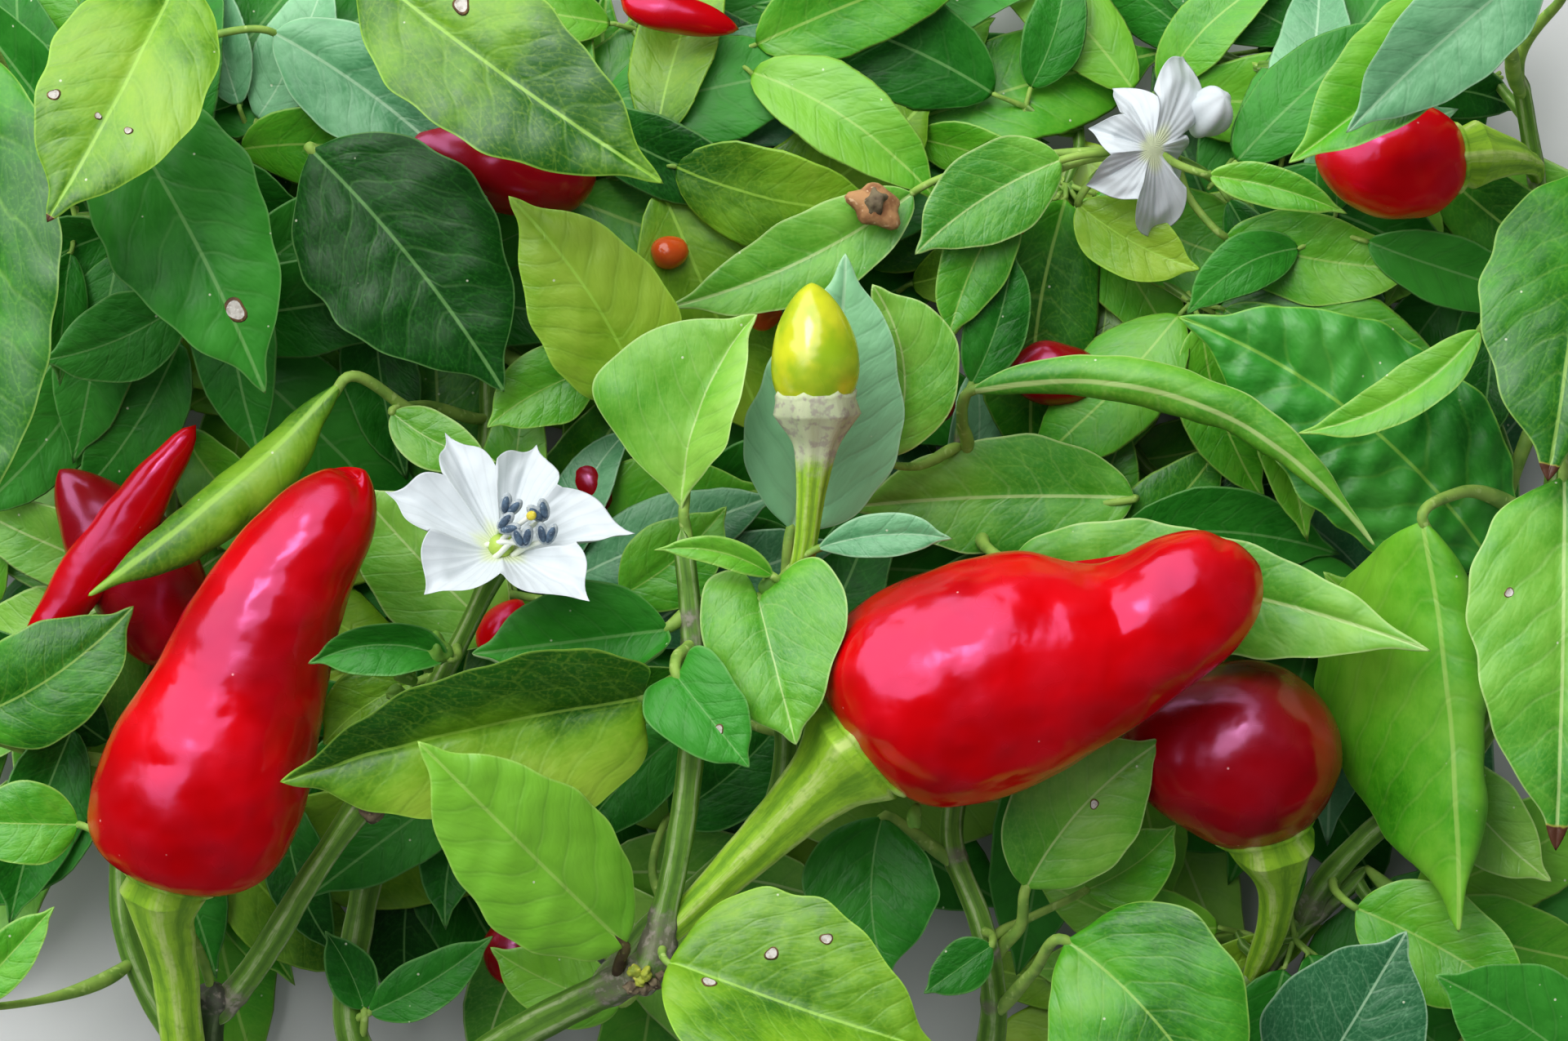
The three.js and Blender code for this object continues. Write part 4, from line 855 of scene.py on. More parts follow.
# The margin round the base of a heart-shaped leaf: pixels at its first rows, left side and right side
LOBED = {
    "leaf_heart": (
        ((965, 691), (1003, 681), (1033, 714), (1034, 766)),
        ((906, 703), (868, 710), (857, 750), (862, 800)),
    ),
    "leaf_small_heart": (
        ((848, 799), (867, 796), (887, 812), (902, 838)),
        ((812, 829), (791, 841), (788, 868), (802, 892)),
    ),
}
# Painted light and shade across a blade: how much lighter the right margin is painted than the midrib, with
# the left margin that much darker. leaf_long_front's upper half is painted in shade, as it faces away from
# the light
PAINTED_HALF_SHADING = {"leaf_long_front": -0.95, "leaf_folded_mid": 0.3, "leaf_upper_mid": 0.3, "leaf_top_right": 0.4}
# The petiole's finish and its radius in millimetres
PETIOLES = {"leaf_low_front": ("brown_rib", 0.58), "leaf_bottom": ("rib", 0.4)}
# The share of the length that is scorched at the tip
SCORCHED = {"leaf_right_edge": 0.055, "leaf_right_top_edge": 0.04, "leaf_top_left": 0.02}


def build_leaf(number, name):
    finish, tone, relief, wave, petiole_tone = LEAVES[name]
    net, petiole = leaf_net(name)
    if name in ROLLED:
        net = rolled(net, *ROLLED[name])
    *keep, narrow = TRIMMED.get(name, (1.0, 1.0, 0.0))
    along = chords(net[:, 2])
    share = (along / along[-1])[:, None]
    widening = smooth_step(-0.05, narrow, share)[..., None]
    for half, kept in zip((slice(0, 2), slice(3, 5)), keep):
        net[:, half] = net[:, 2:3] + (net[:, half] - net[:, 2:3]) * kept * widening
    for outer, inner, margin in zip((0, 4), (1, 3), LOBED.get(name, ())):
        for row, (x, y) in enumerate(margin, start=1):
            shift = seen(x, y, net[row, outer, 2] / MM) - net[row, outer]
            net[row, outer] += shift
            net[row, inner] += shift / 2
    skin = Skin()
    rib, normal = blade(
        skin, net, BIG_LEAF, number * 1.37, relief, wave, tone,
        scorched=SCORCHED.get(name, 0.0), painted_half_shading=PAINTED_HALF_SHADING.get(name, 0.0),
    )
    petiole_finish, thick = PETIOLES.get(name, ("rib", 0.62))
    stem_of_leaf(skin, petiole, rib, normal, 2, thick, 12, petiole_tone)
    if petiole_finish != "rib":
        # Its colour runs on along the start of the midrib
        rows = np.array([1, 3, 6, 9])
        points = np.concatenate([petiole[1:2], rib[rows] + normal[rows] * 0.08 * MM])
        rod(skin, points, (0.52, 0.44, 0.34, 0.22, 0.05), 0.3, 12, 2)
    piece = skin.make(name + "_blade", finishes(finish, "under", petiole_finish))
    LEAF_TREES[name] = object_tree(piece)
    return carry(piece, "leaf", name)


# limbs

# Each limb solid and its finish
LIMBS = dict.fromkeys(
    (
        "main_stem", "centre_bough", "centre_stem", "left_bough", "flower_stem", "young_fruit_stem",
        "right_bough", "low_twig", "upper_right_bough", "back_bough", "upper_left_bough",
        "far_flower_stalk",
    ),
    "stem",
)
# The left bough's skin is the stem's, darkened with painted shade
LIMBS.update(left_bough="painted_shade_stem", far_flower_stalk="stalk")
# Each stalk solid: the fruit that it carries, and its finish
STALKS = {
    "left_stalk": ("left_fruit", "stalk"),
    "right_stalk": ("right_fruit", "stalk"),
    "young_stalk": ("young_fruit", "young_stalk"),
    "dark_stalk": ("dark_fruit", "stalk"),
    "far_stalk": ("far_fruit", "stalk"),
}


def axis_of(name, wide_first):
    _, rings, _ = node_loft(name, wide_first)
    centres = rings.mean(axis=1)
    radii = np.linalg.norm(rings - centres[:, None], axis=2).mean(axis=1)
    return centres, radii


def smoothed(points, times):
    points = points.copy()
    for time in range(times):
        points[1:-1] = points[:-2] / 4 + points[1:-1] / 2 + points[2:] / 4
    return points


# A limb's foot is its wide end, and a stalk's is its narrow one
AXES = {name: axis_of(name, name != "far_flower_stalk") for name in LIMBS}
AXES["flower_stem"] = (smoothed(AXES["flower_stem"][0], 3), AXES["flower_stem"][1])
STALK_AXES = {name: axis_of(name, False) for name in STALKS}
AXIS_POINTS = {
    name: spline(chords(centres), centres, np.linspace(0, chords(centres)[-1], 120))
    for name, (centres, _) in AXES.items()
}


# How near a limb a foot has to be to stand on it, in millimetres
CARRIED = 4.5


def foot_of(name, start, way):
    """Where a stem's foot goes: the middle of the limb that carries it, or else a little further on."""
    others = np.concatenate([points for limb, points in AXIS_POINTS.items() if limb != name])
    away = np.linalg.norm(others - start, axis=1)
    if away.min() > CARRIED * MM:
        return start - way * SOFT * MM
    return others[np.linalg.norm(others - (start - way * 3 * MM), axis=1).argmin()]


# Each fork or leaf foot, and how far from it the skin is corky, in millimetres
FORKS = [(axis[0][0], 2.4) for axis in list(AXES.values())[1:] + list(STALK_AXES.values())]
JOINTS = FORKS + [(leaf_net(name)[1][0], 1.1) for name in LEAVES]


def ribbed(path, radii, along, sides, ribs, depth, seed, joints=True):
    """Radii round a stem with ribs, lumps and swollen joints, with its paint and how near a joint is."""
    angle = turns(sides)
    crest = np.cos(ribs * angle[None] + along[:, None] / MM * RIB_TWIST)
    swell, cork = np.zeros(len(path)), np.zeros(len(path))
    if joints:
        for joint, spread in JOINTS:
            away = np.linalg.norm(path - joint, axis=1)
            if away.min() < radii[int(away.argmin())] + 1.0 * MM:
                off = (along - along[away.argmin()]) / MM
                swell += np.exp(-((off / 1.2) ** 2))
                cork += np.exp(-((off / spread) ** 2))
    swell, cork = np.minimum(swell, 1.2), np.minimum(cork, 1.2)
    uneven = lumps(path, 5 * MM, seed)
    around = path[:, None] + np.stack([np.cos(angle), np.sin(angle), 0 * angle], axis=-1)[None] * 1.5 * MM
    knots = lumps(around, 2.2 * MM, seed + 40)
    shape = 1 + depth * crest + 0.03 * uneven[:, None]
    shape = shape + (0.07 + 0.08 * knots) * swell[:, None] + 0.012 * knots
    paint = np.broadcast_arrays(np.cos(angle)[None], np.sin(angle)[None], along[:, None] / MM)
    return radii[:, None] * shape, np.stack(paint, axis=-1), np.broadcast_to(cork[:, None], crest.shape)


def build_limb(number, name):
    centres, radii = AXES[name]
    cut = name == "main_stem"
    if not cut:
        foot = foot_of(name, centres[0], unit(centres[1] - centres[0]))
        centres, radii = np.concatenate([[foot], centres]), np.concatenate([radii[:1] * 0.75, radii])
    path, radii, along = fine_path(centres, radii, 0.4 * MM)
    if not cut:
        radii = radii * (1 + 0.3 * np.exp(-(((along - SOFT * MM) / (1.1 * MM)) ** 2)))
    if name not in ("flower_stem", "young_fruit_stem", "far_flower_stalk"):
        # The end is rounded off, more so where nothing goes on from it
        free = min(np.linalg.norm(joint - path[-1]) for joint, _ in FORKS) > 3 * MM
        radii = radii * np.sqrt(np.clip((along[-1] - along) / ((2.2 if free else 1.0) * MM), 0.03, 1))
    full, paint, near = ribbed(path, radii, along, LIMB_SIDES, 5, 0.05, number * 0.7)
    rings = tube_rings(path, full, LIMB_SIDES)
    skin = Skin()
    if cut:
        # The cut: a rim of cortex, then fresh pith, a little hollow in its middle
        inward = unit(path[3] - path[0]) * MM
        steps = ((1, 0), (0.78, 0.02), (0.74, 0.35), (0.3, 0.2))
        cap = np.stack([rings[0] * s + path[0] * (1 - s) + inward * d for s, d in steps])
        skin.loft(cap, None, cap[-1].mean(axis=0), np.zeros(3), 0.0, 1)
    end = path[-1] + unit(path[-1] - path[-3]) * 0.4 * MM
    skin.loft(rings, None if cut else path[0], end, paint, near)
    BLOCKERS.append(net_tree(rings[::8, ::5]))
    return carry(skin.make(name + "_bark", finishes(LIMBS[name], "pith")), "stem", name)


FRUIT_TREES = {}
# How far out and on along the fruit the four rings of the calyx's rim go, in millimetres, and how deep its
# teeth are and how many
FLAT_RIM = (-0.3, -0.2, -0.1, 0.0)
CALYX = {
    "left_stalk": ((4.4, 4.7, 5.0, 5.1), FLAT_RIM, 0.35, 5),
    "right_stalk": ((6.0, 6.5, 6.9, 7.0), FLAT_RIM, 1.1, 5),
    "young_stalk": ((6.0, 6.0, 6.0, 6.0), (0.0, 0.5, 0.9, 1.2), 0.8, 7),
    "dark_stalk": ((4.6, 5.2, 5.8, 6.0), FLAT_RIM, 0.6, 5),
    "far_stalk": ((3.6, 4.2, 4.8, 5.0), FLAT_RIM, 0.8, 5),
}
# How far above the fruit's skin each of those rings lies, in millimetres
RIM_LIFT = (0.45, 0.36, 0.24, -0.15)


def build_stalk(number, name):
    fruit, finish = STALKS[name]
    centres, radii = STALK_AXES[name]
    centres = smoothed(centres, 9 if name == "right_stalk" else 2)
    # The flare under the fruit is short
    neck, rim = radii[1:-2].min(), radii[-1]
    wider = np.clip((radii - neck) / (rim - neck), 0, 1)
    radii = np.where(radii > neck, neck + (rim - neck) * wider * (1 - 0.45 * np.sin(np.pi * wider**2)), radii)
    start = foot_of(name, centres[0], unit(centres[1] - centres[0]))
    points = np.concatenate([[start], centres])
    path, radii, along = fine_path(points, np.concatenate([[radii[0] * 0.7], radii]), 0.3 * MM)
    outs, ons, teeth, ribs = CALYX[name]
    ridged, paint, _ = ribbed(path, radii, along, STALK_SIDES, ribs, 0.05, number * 1.1, joints=False)
    rings = tube_rings(path, ridged, STALK_SIDES)
    _, side, other = tube_frames(path)
    forward = unit(path[-1] - path[-4])
    angle = turns(STALK_SIDES)
    around = circle(side[-1], other[-1], angle)
    # The teeth stand on the ribs
    tooth = np.maximum(0, np.cos(ribs * angle + along[-1] / MM * RIB_TWIST)) ** 2.5
    lip = []
    for step, (out, on, lift) in enumerate(zip(outs, ons, RIM_LIFT)):
        ring = []
        for k in range(STALK_SIDES):
            grow = teeth * (tooth[k] - 0.25) * (step + 1) / 4
            aim_point = path[-1] + forward * (on + grow * 0.7) * MM + around[k] * (out + grow) * MM
            spot, normal, _, _ = FRUIT_TREES[fruit].find_nearest(Vector(aim_point))
            ring.append(np.array(spot) + np.array(normal) * lift * MM)
        lip.append(ring)
    rings = np.concatenate([rings, np.array(lip)])
    paint = np.concatenate([paint, np.repeat(paint[-1:], len(lip), axis=0)])
    share = np.concatenate([along / along[-1], np.ones(len(lip))])
    # The length goes on over the rim
    paint[-len(lip) :, :, 2] += np.arange(1, len(lip) + 1)[:, None] * 0.5
    skin = Skin()
    end = path[-1] + forward * 0.2 * MM
    # The young fruit's calyx is pale, and its colour fades into the stalk's
    pale = 1.9 * smooth_step(0.7, 0.93, share)[:, None] * (name == "young_stalk")
    skin.loft(rings, path[0], end, paint, pale)
    BLOCKERS.append(net_tree(rings[::8, ::9]))
    return carry(skin.make(name + "_calyx", finishes(finish)), "stalk", name)


# fruits

# Each fruit solid: its finish, its slot, and how uneven it is, in millimetres
FRUITS = {
    "left_fruit": ("ripe", "fruit", 0.13),
    "right_fruit": ("ripe", "fruit", 0.15),
    "young_fruit": ("unripe", "young_fruit", 0.1),
    "dark_fruit": ("crimson", "dark_fruit", 0.24),
    "far_fruit": ("ripe", "fruit", 0.2),
    "hidden_left_fruit": ("crimson", "dark_fruit", 0.2),
    "hidden_top_fruit": ("crimson", "dark_fruit", 0.2),
}
# A round fruit: its middle as a pixel and height, its half sizes in millimetres, the way its nose points,
# and how far that stands out
ROUNDED = {"dark_fruit": ((1528, 925, 23), (9.4, 9.6, 9.6), (-1.0, 0.12, 0.1), 3.6)}


def round_grid(first, rows, sides, middle, half, nose, out):
    """A fine skin over a round fruit with a blunt nose, drawn from its stalk's end."""
    middle = seen(*middle)
    axis = unit(middle - first)
    side = unit(np.cross(axis, [0.0, 0.0, 1.0]))
    turn = np.linspace(0, math.pi, rows)[:, None, None]
    way = circle(side, np.cross(axis, side), turns(sides)) * np.sin(turn) - axis * np.cos(turn)
    bulge = out * np.exp(5 * (way @ unit(np.array(nose)) - 1))
    far = 1 / np.linalg.norm(way / np.array(half), axis=2) + bulge
    return middle + way * far[..., None] * MM


def fruit_grid(first, rings, last, rows, sides):
    """A fine skin over a fruit's rings, smooth over both ends."""
    count, half = len(rings), rings.shape[1] // 2
    across = np.roll(rings, half, axis=1)
    whole = np.concatenate(
        [across[1::-1], np.broadcast_to(first, (1,) + rings.shape[1:]), rings,
         np.broadcast_to(last, (1,) + rings.shape[1:]), across[:-3:-1]]
    )
    knots = chords(whole, 0.75)
    places = np.linspace(knots[2], knots[3 + count], rows)
    fine = spline(knots, whole, places)
    wrapped = np.concatenate([fine[:, -3:], fine, fine[:, :4]], axis=1).swapaxes(0, 1)
    total = rings.shape[1]
    turned = spline(np.arange(-3, total + 4), wrapped, np.arange(sides) * total / sides)
    return turned.swapaxes(0, 1)


# Dents in a fruit, seen from above: pixel, depth and spread in millimetres. A bump has a negative depth.
DENTS = {
    "right_fruit": (
        (1340, 690, 1.3, 4.2), (1470, 650, -0.5, 4.0), (1235, 668, -0.4, 5.0), (1499, 662, 0.6, 1.0),
        (1370, 740, 0.3, 3.0), (1290, 860, 0.25, 4.5),
    ),
    "left_fruit": (
        (330, 640, 0.35, 3.0), (425, 720, 0.3, 4.0), (170, 930, 0.3, 4.0), (410, 570, 0.5, 0.7),
        (420, 575, 0.8, 0.7), (428, 582, 0.9, 0.7), (434, 591, 0.9, 0.7), (438, 602, 0.7, 0.7),
        (440, 614, 0.4, 0.8),
    ),
}
# How many times a fruit's grid is smoothed
SMOOTHINGS = 110


def build_fruit(number, name):
    finish, slot, uneven = FRUITS[name]
    first, rings, last = node_loft(name)
    size = FAR_FRUIT_GRID if name.startswith(("hidden", "far")) else FRUIT_GRID
    share = np.linspace(0, 1, size[0])[:, None]
    room = np.sin(np.pi * share) ** 0.5
    if name in ROUNDED:
        grid = round_grid(first, *size, *ROUNDED[name])
    else:
        grid = fruit_grid(first, rings, last, *size)
        # The solid's rings are smoothed out, least at both ends
        for turn in range(SMOOTHINGS):
            grid[1:-1] += (grid[:-2] - 2 * grid[1:-1] + grid[2:]) * (0.3 * room[1:-1, :, None] ** 2)
    way = unit(grid - grid.mean(axis=1, keepdims=True))
    for x, y, depth, spread in DENTS.get(name, ()):
        off = grid - seen(x, y, FRUIT_HEIGHT / MM)
        near = np.exp(-(off[..., 0] ** 2 + off[..., 1] ** 2) / (spread * MM) ** 2) * (way[..., 2] > -0.4)
        grid = grid - way * (near * depth * MM)[..., None]
    for part, size_of_lumps, seed in ((1, 9, 5), (0.35, 4, 25)):
        height = room * uneven * part * lumps(grid, size_of_lumps * MM, number + seed)
        grid = grid + way * height[..., None] * MM
    skin = Skin()
    skin.loft(grid[1:-1], grid[0].mean(axis=0), grid[-1].mean(axis=0))
    BLOCKERS.append(net_tree(grid[::8, ::7]))
    piece = skin.make(name + "_skin", finishes(finish))
    FRUIT_TREES[name] = object_tree(piece)
    return carry(piece, slot, name)


# flowers
def flower_frame(name):
    """Throat, axis and rim of a corolla solid; the rim's corners go tip, shoulder, notch, shoulder."""
    first, rings, last = node_loft(name)
    if first[2] < last[2]:
        first, rings, last = last, rings[::-1], first
    axis = unit(first - last)
    rim = rings[2] - first
    heights = rim @ axis
    flat = rim - heights[:, None] * axis
    across = unit(np.array([1.0, 0, 0]) - axis * axis[0])
    away = np.cross(axis, across)
    angles = np.arctan2(flat @ away, flat @ across)
    reach = np.linalg.norm(flat, axis=1)
    tips = max(range(4), key=lambda o: reach[o::4].sum())
    order = np.argsort(angles)
    angles, reach, heights = angles[order], reach[order], heights[order]
    is_tip = np.isin(order, np.arange(tips, len(order), 4))
    is_notch = np.isin(order, np.arange((tips + 2) % 4, len(order), 4))
    return first, axis, across, away, angles, reach, heights, is_tip, is_notch


def build_corolla(name, curl_back, droop, fuller=1.0, pointed=0.42, shift=0.0):
    """A corolla on its solid's rim. In millimetres, curl_back is how far its tips turn back, droop how far
    its lobes hang, and shift how far they lie up in the photo. fuller is how much further its notches
    reach, and pointed how slender its tips are."""
    throat, axis, across, away, angles, reach, heights, is_tip, is_notch = flower_frame(name)
    reach = np.where(is_notch, reach * fuller, reach)
    widest = reach.max()
    depth = heights[is_tip][reach[is_tip].argmax()]
    tips, notches = np.flatnonzero(is_tip), np.flatnonzero(is_notch)
    columns = []
    for tip in tips:
        before = notches[notches < tip][-1] if (notches < tip).any() else notches[-1]
        after = notches[notches > tip][0] if (notches > tip).any() else notches[0]
        for notch, sign in ((before, -1), (after, 1)):
            span = abs((angles[notch] - angles[tip] + math.pi) % (2 * math.pi) - math.pi)
            ends = (1, 0) if sign < 0 else (0, 1)
            for x in np.linspace(*ends, HALF_LOBE, endpoint=False):
                shape = 1 - pointed * (1 - math.exp(-x / 0.13)) - (1 - pointed) * x**2.4
                outward = reach[notch] + (reach[tip] - reach[notch]) * shape
                columns.append((angles[tip] + sign * x * span, outward, x * sign, tip))
    angle, far, place, lobe = (np.array(c, float) for c in zip(*columns))
    shares = np.concatenate([np.linspace(0.1, 0.9, 20), np.linspace(0.92, 1, 6)])
    out = shares[:, None] * far[None]
    height = depth * (out / widest) ** 1.2
    share = np.broadcast_to(shares[:, None], out.shape)
    turned = np.abs(place)[None]
    # Each lobe is a shallow trough with a fold along its middle and a tip that turns back
    height += 1.7 * MM * (turned**1.4 - 0.4) * smooth_step(0.15, 0.75, share)
    height -= 0.35 * MM * np.exp(-((turned / 0.1) ** 2)) * smooth_step(0.2, 0.6, share)
    height -= curl_back * MM * smooth_step(0.72, 1.0, share) * (1 - turned) ** 2
    height += 0.45 * MM * np.sin(lobe[None] * 2.1 + 5 * share + 3 * place[None]) * share**2 * turned
    height += 0.1 * MM * np.sin(lobe[None] * 1.3 + 15 * share + 9 * place[None]) * share**2
    height -= droop * MM * share**2 * (0.5 + 0.5 * np.sin(lobe[None] * 1.9))
    direction = circle(across, away, angle)
    sideways = np.cross(axis, direction)
    bend = 0.5 * MM * np.sin(lobe * 3.3)[None] * smooth_step(0.7, 1.0, share) * (1 - turned)
    front = throat + direction[None] * out[..., None] + axis * height[..., None]
    front = front + sideways[None] * bend[..., None]
    front[..., 1] += shift * MM * share**1.5
    thick = 0.26 * MM * (1 - share**8)
    back = front - axis * (thick + 0.5 * MM * (1 - share) ** 3)[..., None]
    rings = np.concatenate([front, back[-2::-1]])
    paint = np.stack(np.broadcast_arrays(angle * 42, share, place), axis=-1)
    paint = np.concatenate([paint, paint[-2::-1]])
    skin = Skin()
    skin.loft(rings, throat, throat - axis * 0.8 * MM, paint)
    return carry(skin.make(name + "_petals", finishes("petal")), "petal", name)


def ball(skin, centre, axis, radii, slot, rows=12, sides=16, ribs=0, guide=(0.3, 0.9, 0.2), knobbly=0.0):
    """Adds an egg of three half sizes: square to its guide, across that, and along its axis. knobbly is the
    depth of the knobs on it, as a share of its size."""
    axis = unit(np.asarray(axis, float))
    side = unit(np.cross(axis, guide))
    other = np.cross(axis, side)
    turn = np.linspace(0, math.pi, rows)[1:-1]
    angle = turns(sides)
    across = side * (np.cos(angle) * radii[0])[:, None] + other * (np.sin(angle) * radii[1])[:, None]
    across = across * (1 + 0.11 * (ribs > 0) * np.cos(ribs * angle))[:, None]
    rings = centre + across[None] * np.sin(turn)[:, None, None]
    rings = rings - axis * (np.cos(turn) * radii[2])[:, None, None]
    if knobbly:
        knobs = knobbly * lumps(rings, max(radii) * 1.1, ribs + slot)
        rings = centre + (rings - centre) * (1 + knobs)[..., None]
    skin.loft(rings, centre - axis * radii[2], centre + axis * radii[2], (0, 0.6, 0), 0.5, slot)


# Stamens of the open flower: the anther's pixel and the way it points there, in degrees
STAMENS = [(624, 620, 62), (621, 643, 28), (640, 658, 96), (661, 627, 118), (669, 654, 84)]
# Where the style ends: across, away and up from the throat, in millimetres
STYLE = (2.9, 0.3, 5.2)


def build_heart():
    throat, axis, across, away = flower_frame("flower")[:4]

    def place(point):
        return throat + (across * point[0] + away * point[1] + axis * point[2]) * MM

    skin = Skin()
    ball(skin, place((0, 0, 0.5)), axis, np.array([1.3, 1.3, 1.2]) * MM, 3, 16, 24)
    level = place((2.4, 0.4, 4.3))[2] / MM
    for i, (x, y, degrees) in enumerate(STAMENS):
        head = seen(x, y, level)
        turn = math.radians(degrees)
        length = unit(np.array([math.cos(turn), math.sin(turn), 0.4]))
        wide = unit(np.cross(length, [0.0, 0.0, 1.0]))
        front = np.cross(wide, length)
        foot = place((1.5 * math.cos(i * 1.26 + 0.5), 1.5 * math.sin(i * 1.26 + 0.5), 0.3))
        end = head - (length * 0.9 + front * 0.3) * MM
        thread = (foot, (foot + end) / 2 + axis * 0.5 * MM, end)
        rod(skin, thread, (0.33, 0.27, 0.2), 0.2, 8, 2)
        # Two dark pollen sacs, each on a pale wall that shows round it
        for offset in (-1, 1):
            lobe, way = head + wide * offset * 0.42 * MM, length + wide * offset * 0.3
            for lift, size, slot in ((-0.12, (0.62, 0.4, 1.2), 1), (0.06, (0.4, 0.46, 0.92), 0)):
                middle = lobe + front * lift * MM
                ball(skin, middle, way, np.array(size) * MM, slot, *ANTHER_GRID, guide=front)
    top = place(STYLE)
    rod(skin, (place((0, 0, 1.4)), place((1.5, 0.2, 3.6)), top), (0.3, 0.26, 0.26), 0.2, 8, 2)
    ball(skin, top, axis, np.array([0.5, 0.55, 0.35]) * MM, 4)
    piece = skin.make("flower_heart_parts", finishes("anther", "pollen", "filament", "ovary", "stigma"))
    return carry(piece, "anther", "flower_heart")


# small leaves that show by themselves

PLAIN = dict(fold=10, sweep=0.8)
# Finish and tone, base and tip as pixels of the photo with a height in millimetres, the width, and the
# leaf's own shape
SMALL_LEAVES = [
    ("mid", 0.5, (946, 705, 40), (800, 674, 42), 3.2, dict(fold=22, sweep=1.2, arch=0.8)),
    ("blue", 0.7, (1001, 672, 39), (1166, 660, 41), 4.6, dict(fold=14, sweep=-0.9, arch=0.5, belly=0.5)),
    ("dark", 0.8, (548, 806, 42), (377, 813, 44), 6.6,
     dict(fold=26, roll=-10, sweep=1.6, arch=1.4, curl=16, belly=0.45)),
    ("yellowish", 0.4, (506, 836, 34.5), (396, 912, 33), 7.6, dict(fold=12, sweep=0.8, belly=0.5)),
    ("light", 0.4, (1088, 560, 27), (1068, 348, 29), 11.5, dict(fold=10, sweep=2.4, belly=0.5)),
    ("dark", 0.8, (1960, 1330, 30), (1757, 1194, 34), 13.0, PLAIN),
    ("dark", 0.8, (1214, 1158, 27), (1131, 1217, 28), 5.4, dict(fold=10)),
    ("mid", 0.6, (1812, 404, 33), (1588, 531, 31), 5.6, dict(fold=20, sweep=-2.0, arch=1.5, roll=14)),
    ("blue", 0.8, (1890, -50, 50), (1648, 163, 49.5), 11.0, dict(fold=14, sweep=0.5, roll=-12)),
    ("blue", 0.6, (335, 40, 21), (598, 246, 23), 11.5, dict(fold=8, sweep=-1.2)),
    ("mid", 0.15, (-40, 880, 20), (164, 742, 23), 12.0, dict(fold=14, sweep=1.4, arch=1.5, curl=-20)),
    ("mid", 0.15, (96, 1010, 30), (-60, 1006, 31), 8.6, dict(fold=10, arch=0.8)),
    ("mid", 0.25, (-40, 1226, 30), (67, 1110, 31), 5.5, dict(fold=16)),
    ("light", 0.3, (1118, 236, 21), (817, 377, 22), 9.0, dict(fold=14, sweep=-1.5, arch=1)),
    ("light", 0.2, (1300, 196, 22), (1120, 312, 23), 10.0, dict(fold=8, sweep=1.0)),
    ("light", 0.3, (1390, 610, 16), (1032, 622, 18), 12.5, dict(fold=8, sweep=0.6)),
    ("dark", 0.7, (222, 372, 20), (48, 442, 21), 9.0, dict(fold=8, sweep=-1.0)),
    ("mid", 0.6, (1660, 1112, 20), (1880, 1240, 22), 12.0, dict(fold=10, sweep=-0.8)),
    ("light", 0.5, (612, 780, 21), (430, 590, 22), 13.0, dict(fold=8, sweep=-0.4)),
    ("mid", 0.6, (732, 452, 22), (596, 524, 23), 8.2, PLAIN),
    ("dark", 0.7, (452, 1240, 15), (604, 1146, 18), 6.0, dict(fold=14, sweep=0.6)),
    ("dark", 0.5, (446, 1236, 15), (398, 1140, 17), 5.2, dict(fold=14, sweep=0.4)),
    ("light", 0.6, (480, 505, 23), (608, 566, 24), 6.0, dict(fold=12, sweep=0.8)),
    ("mid", 0.5, (1240, 240, 20), (1160, 420, 20), 7.5, PLAIN),
    ("mid", 0.7, (1480, 215, 21), (1650, 262, 22), 4.6, dict(fold=22, sweep=-0.6)),
    ("yellowish", 0.7, (1320, 250, 18), (1470, 330, 18), 8.0, PLAIN),
    ("mid", 0.6, (1500, 290, 17), (1750, 330, 18), 9.5, PLAIN),
    ("dark", 0.6, (1190, 470, 18), (1240, 300, 19), 6.5, PLAIN),
    ("mid", 0.7, (760, 730, 20), (890, 620, 22), 9.0, PLAIN),
    ("dark", 0.6, (830, 900, 20), (700, 1040, 20), 9.0, PLAIN),
    ("dark", 0.5, (820, 1000, 18), (960, 880, 18), 9.0, PLAIN),
    ("mid", 0.6, (760, 1230, 18), (600, 1160, 18), 8.0, dict(fold=10, sweep=-0.8)),
    ("mid", 0.7, (1330, 1090, 18), (1440, 1010, 22), 8.0, PLAIN),
    ("light", 0.7, (1760, 930, 18), (1900, 1080, 20), 9.0, PLAIN),
    ("mid", 0.3, (1740, 860, 15), (1620, 700, 16.5), 9.0, PLAIN),
]
LIMB_POINTS = np.concatenate([fine_path(*axis, 1.5 * MM)[0] for axis in AXES.values()])


def petiole_to(base, forward):
    """A petiole's course from the nearest point of a limb to a leaf's base."""
    behind = base - forward * 4 * MM
    foot = LIMB_POINTS[np.linalg.norm(LIMB_POINTS - behind, axis=1).argmin()]
    length = np.linalg.norm(base - foot)
    foot = foot + unit(base - foot) * min(0.9 * MM, length * 0.3)
    return np.array([foot, (foot + base) / 2 - forward * length * 0.12, base])


def build_small_leaves():
    names = ("mid", "blue", "light", "yellowish", "dark")
    skin = Skin()
    for number, (finish, tone, base, tip, width, shape) in enumerate(SMALL_LEAVES):
        base, tip = seen(*base), seen(*tip)
        shape = {key: value * (MM if key in ("arch", "sweep") else 1) for key, value in shape.items()}
        net = drawn_net(base, tip, width * MM, **shape)
        slots = (names.index(finish), len(names))
        rib, normal = blade(skin, net, SMALL_LEAF, number * 2.3 + 1, 0.12, 0.25, tone, slots=slots)
        stem_of_leaf(skin, petiole_to(base, unit(rib[4] - rib[0])), rib, normal, len(names) + 1, 0.45)
    return carry(skin.make("small_front_leaves", finishes(*names, "under", "rib")), "leaf")


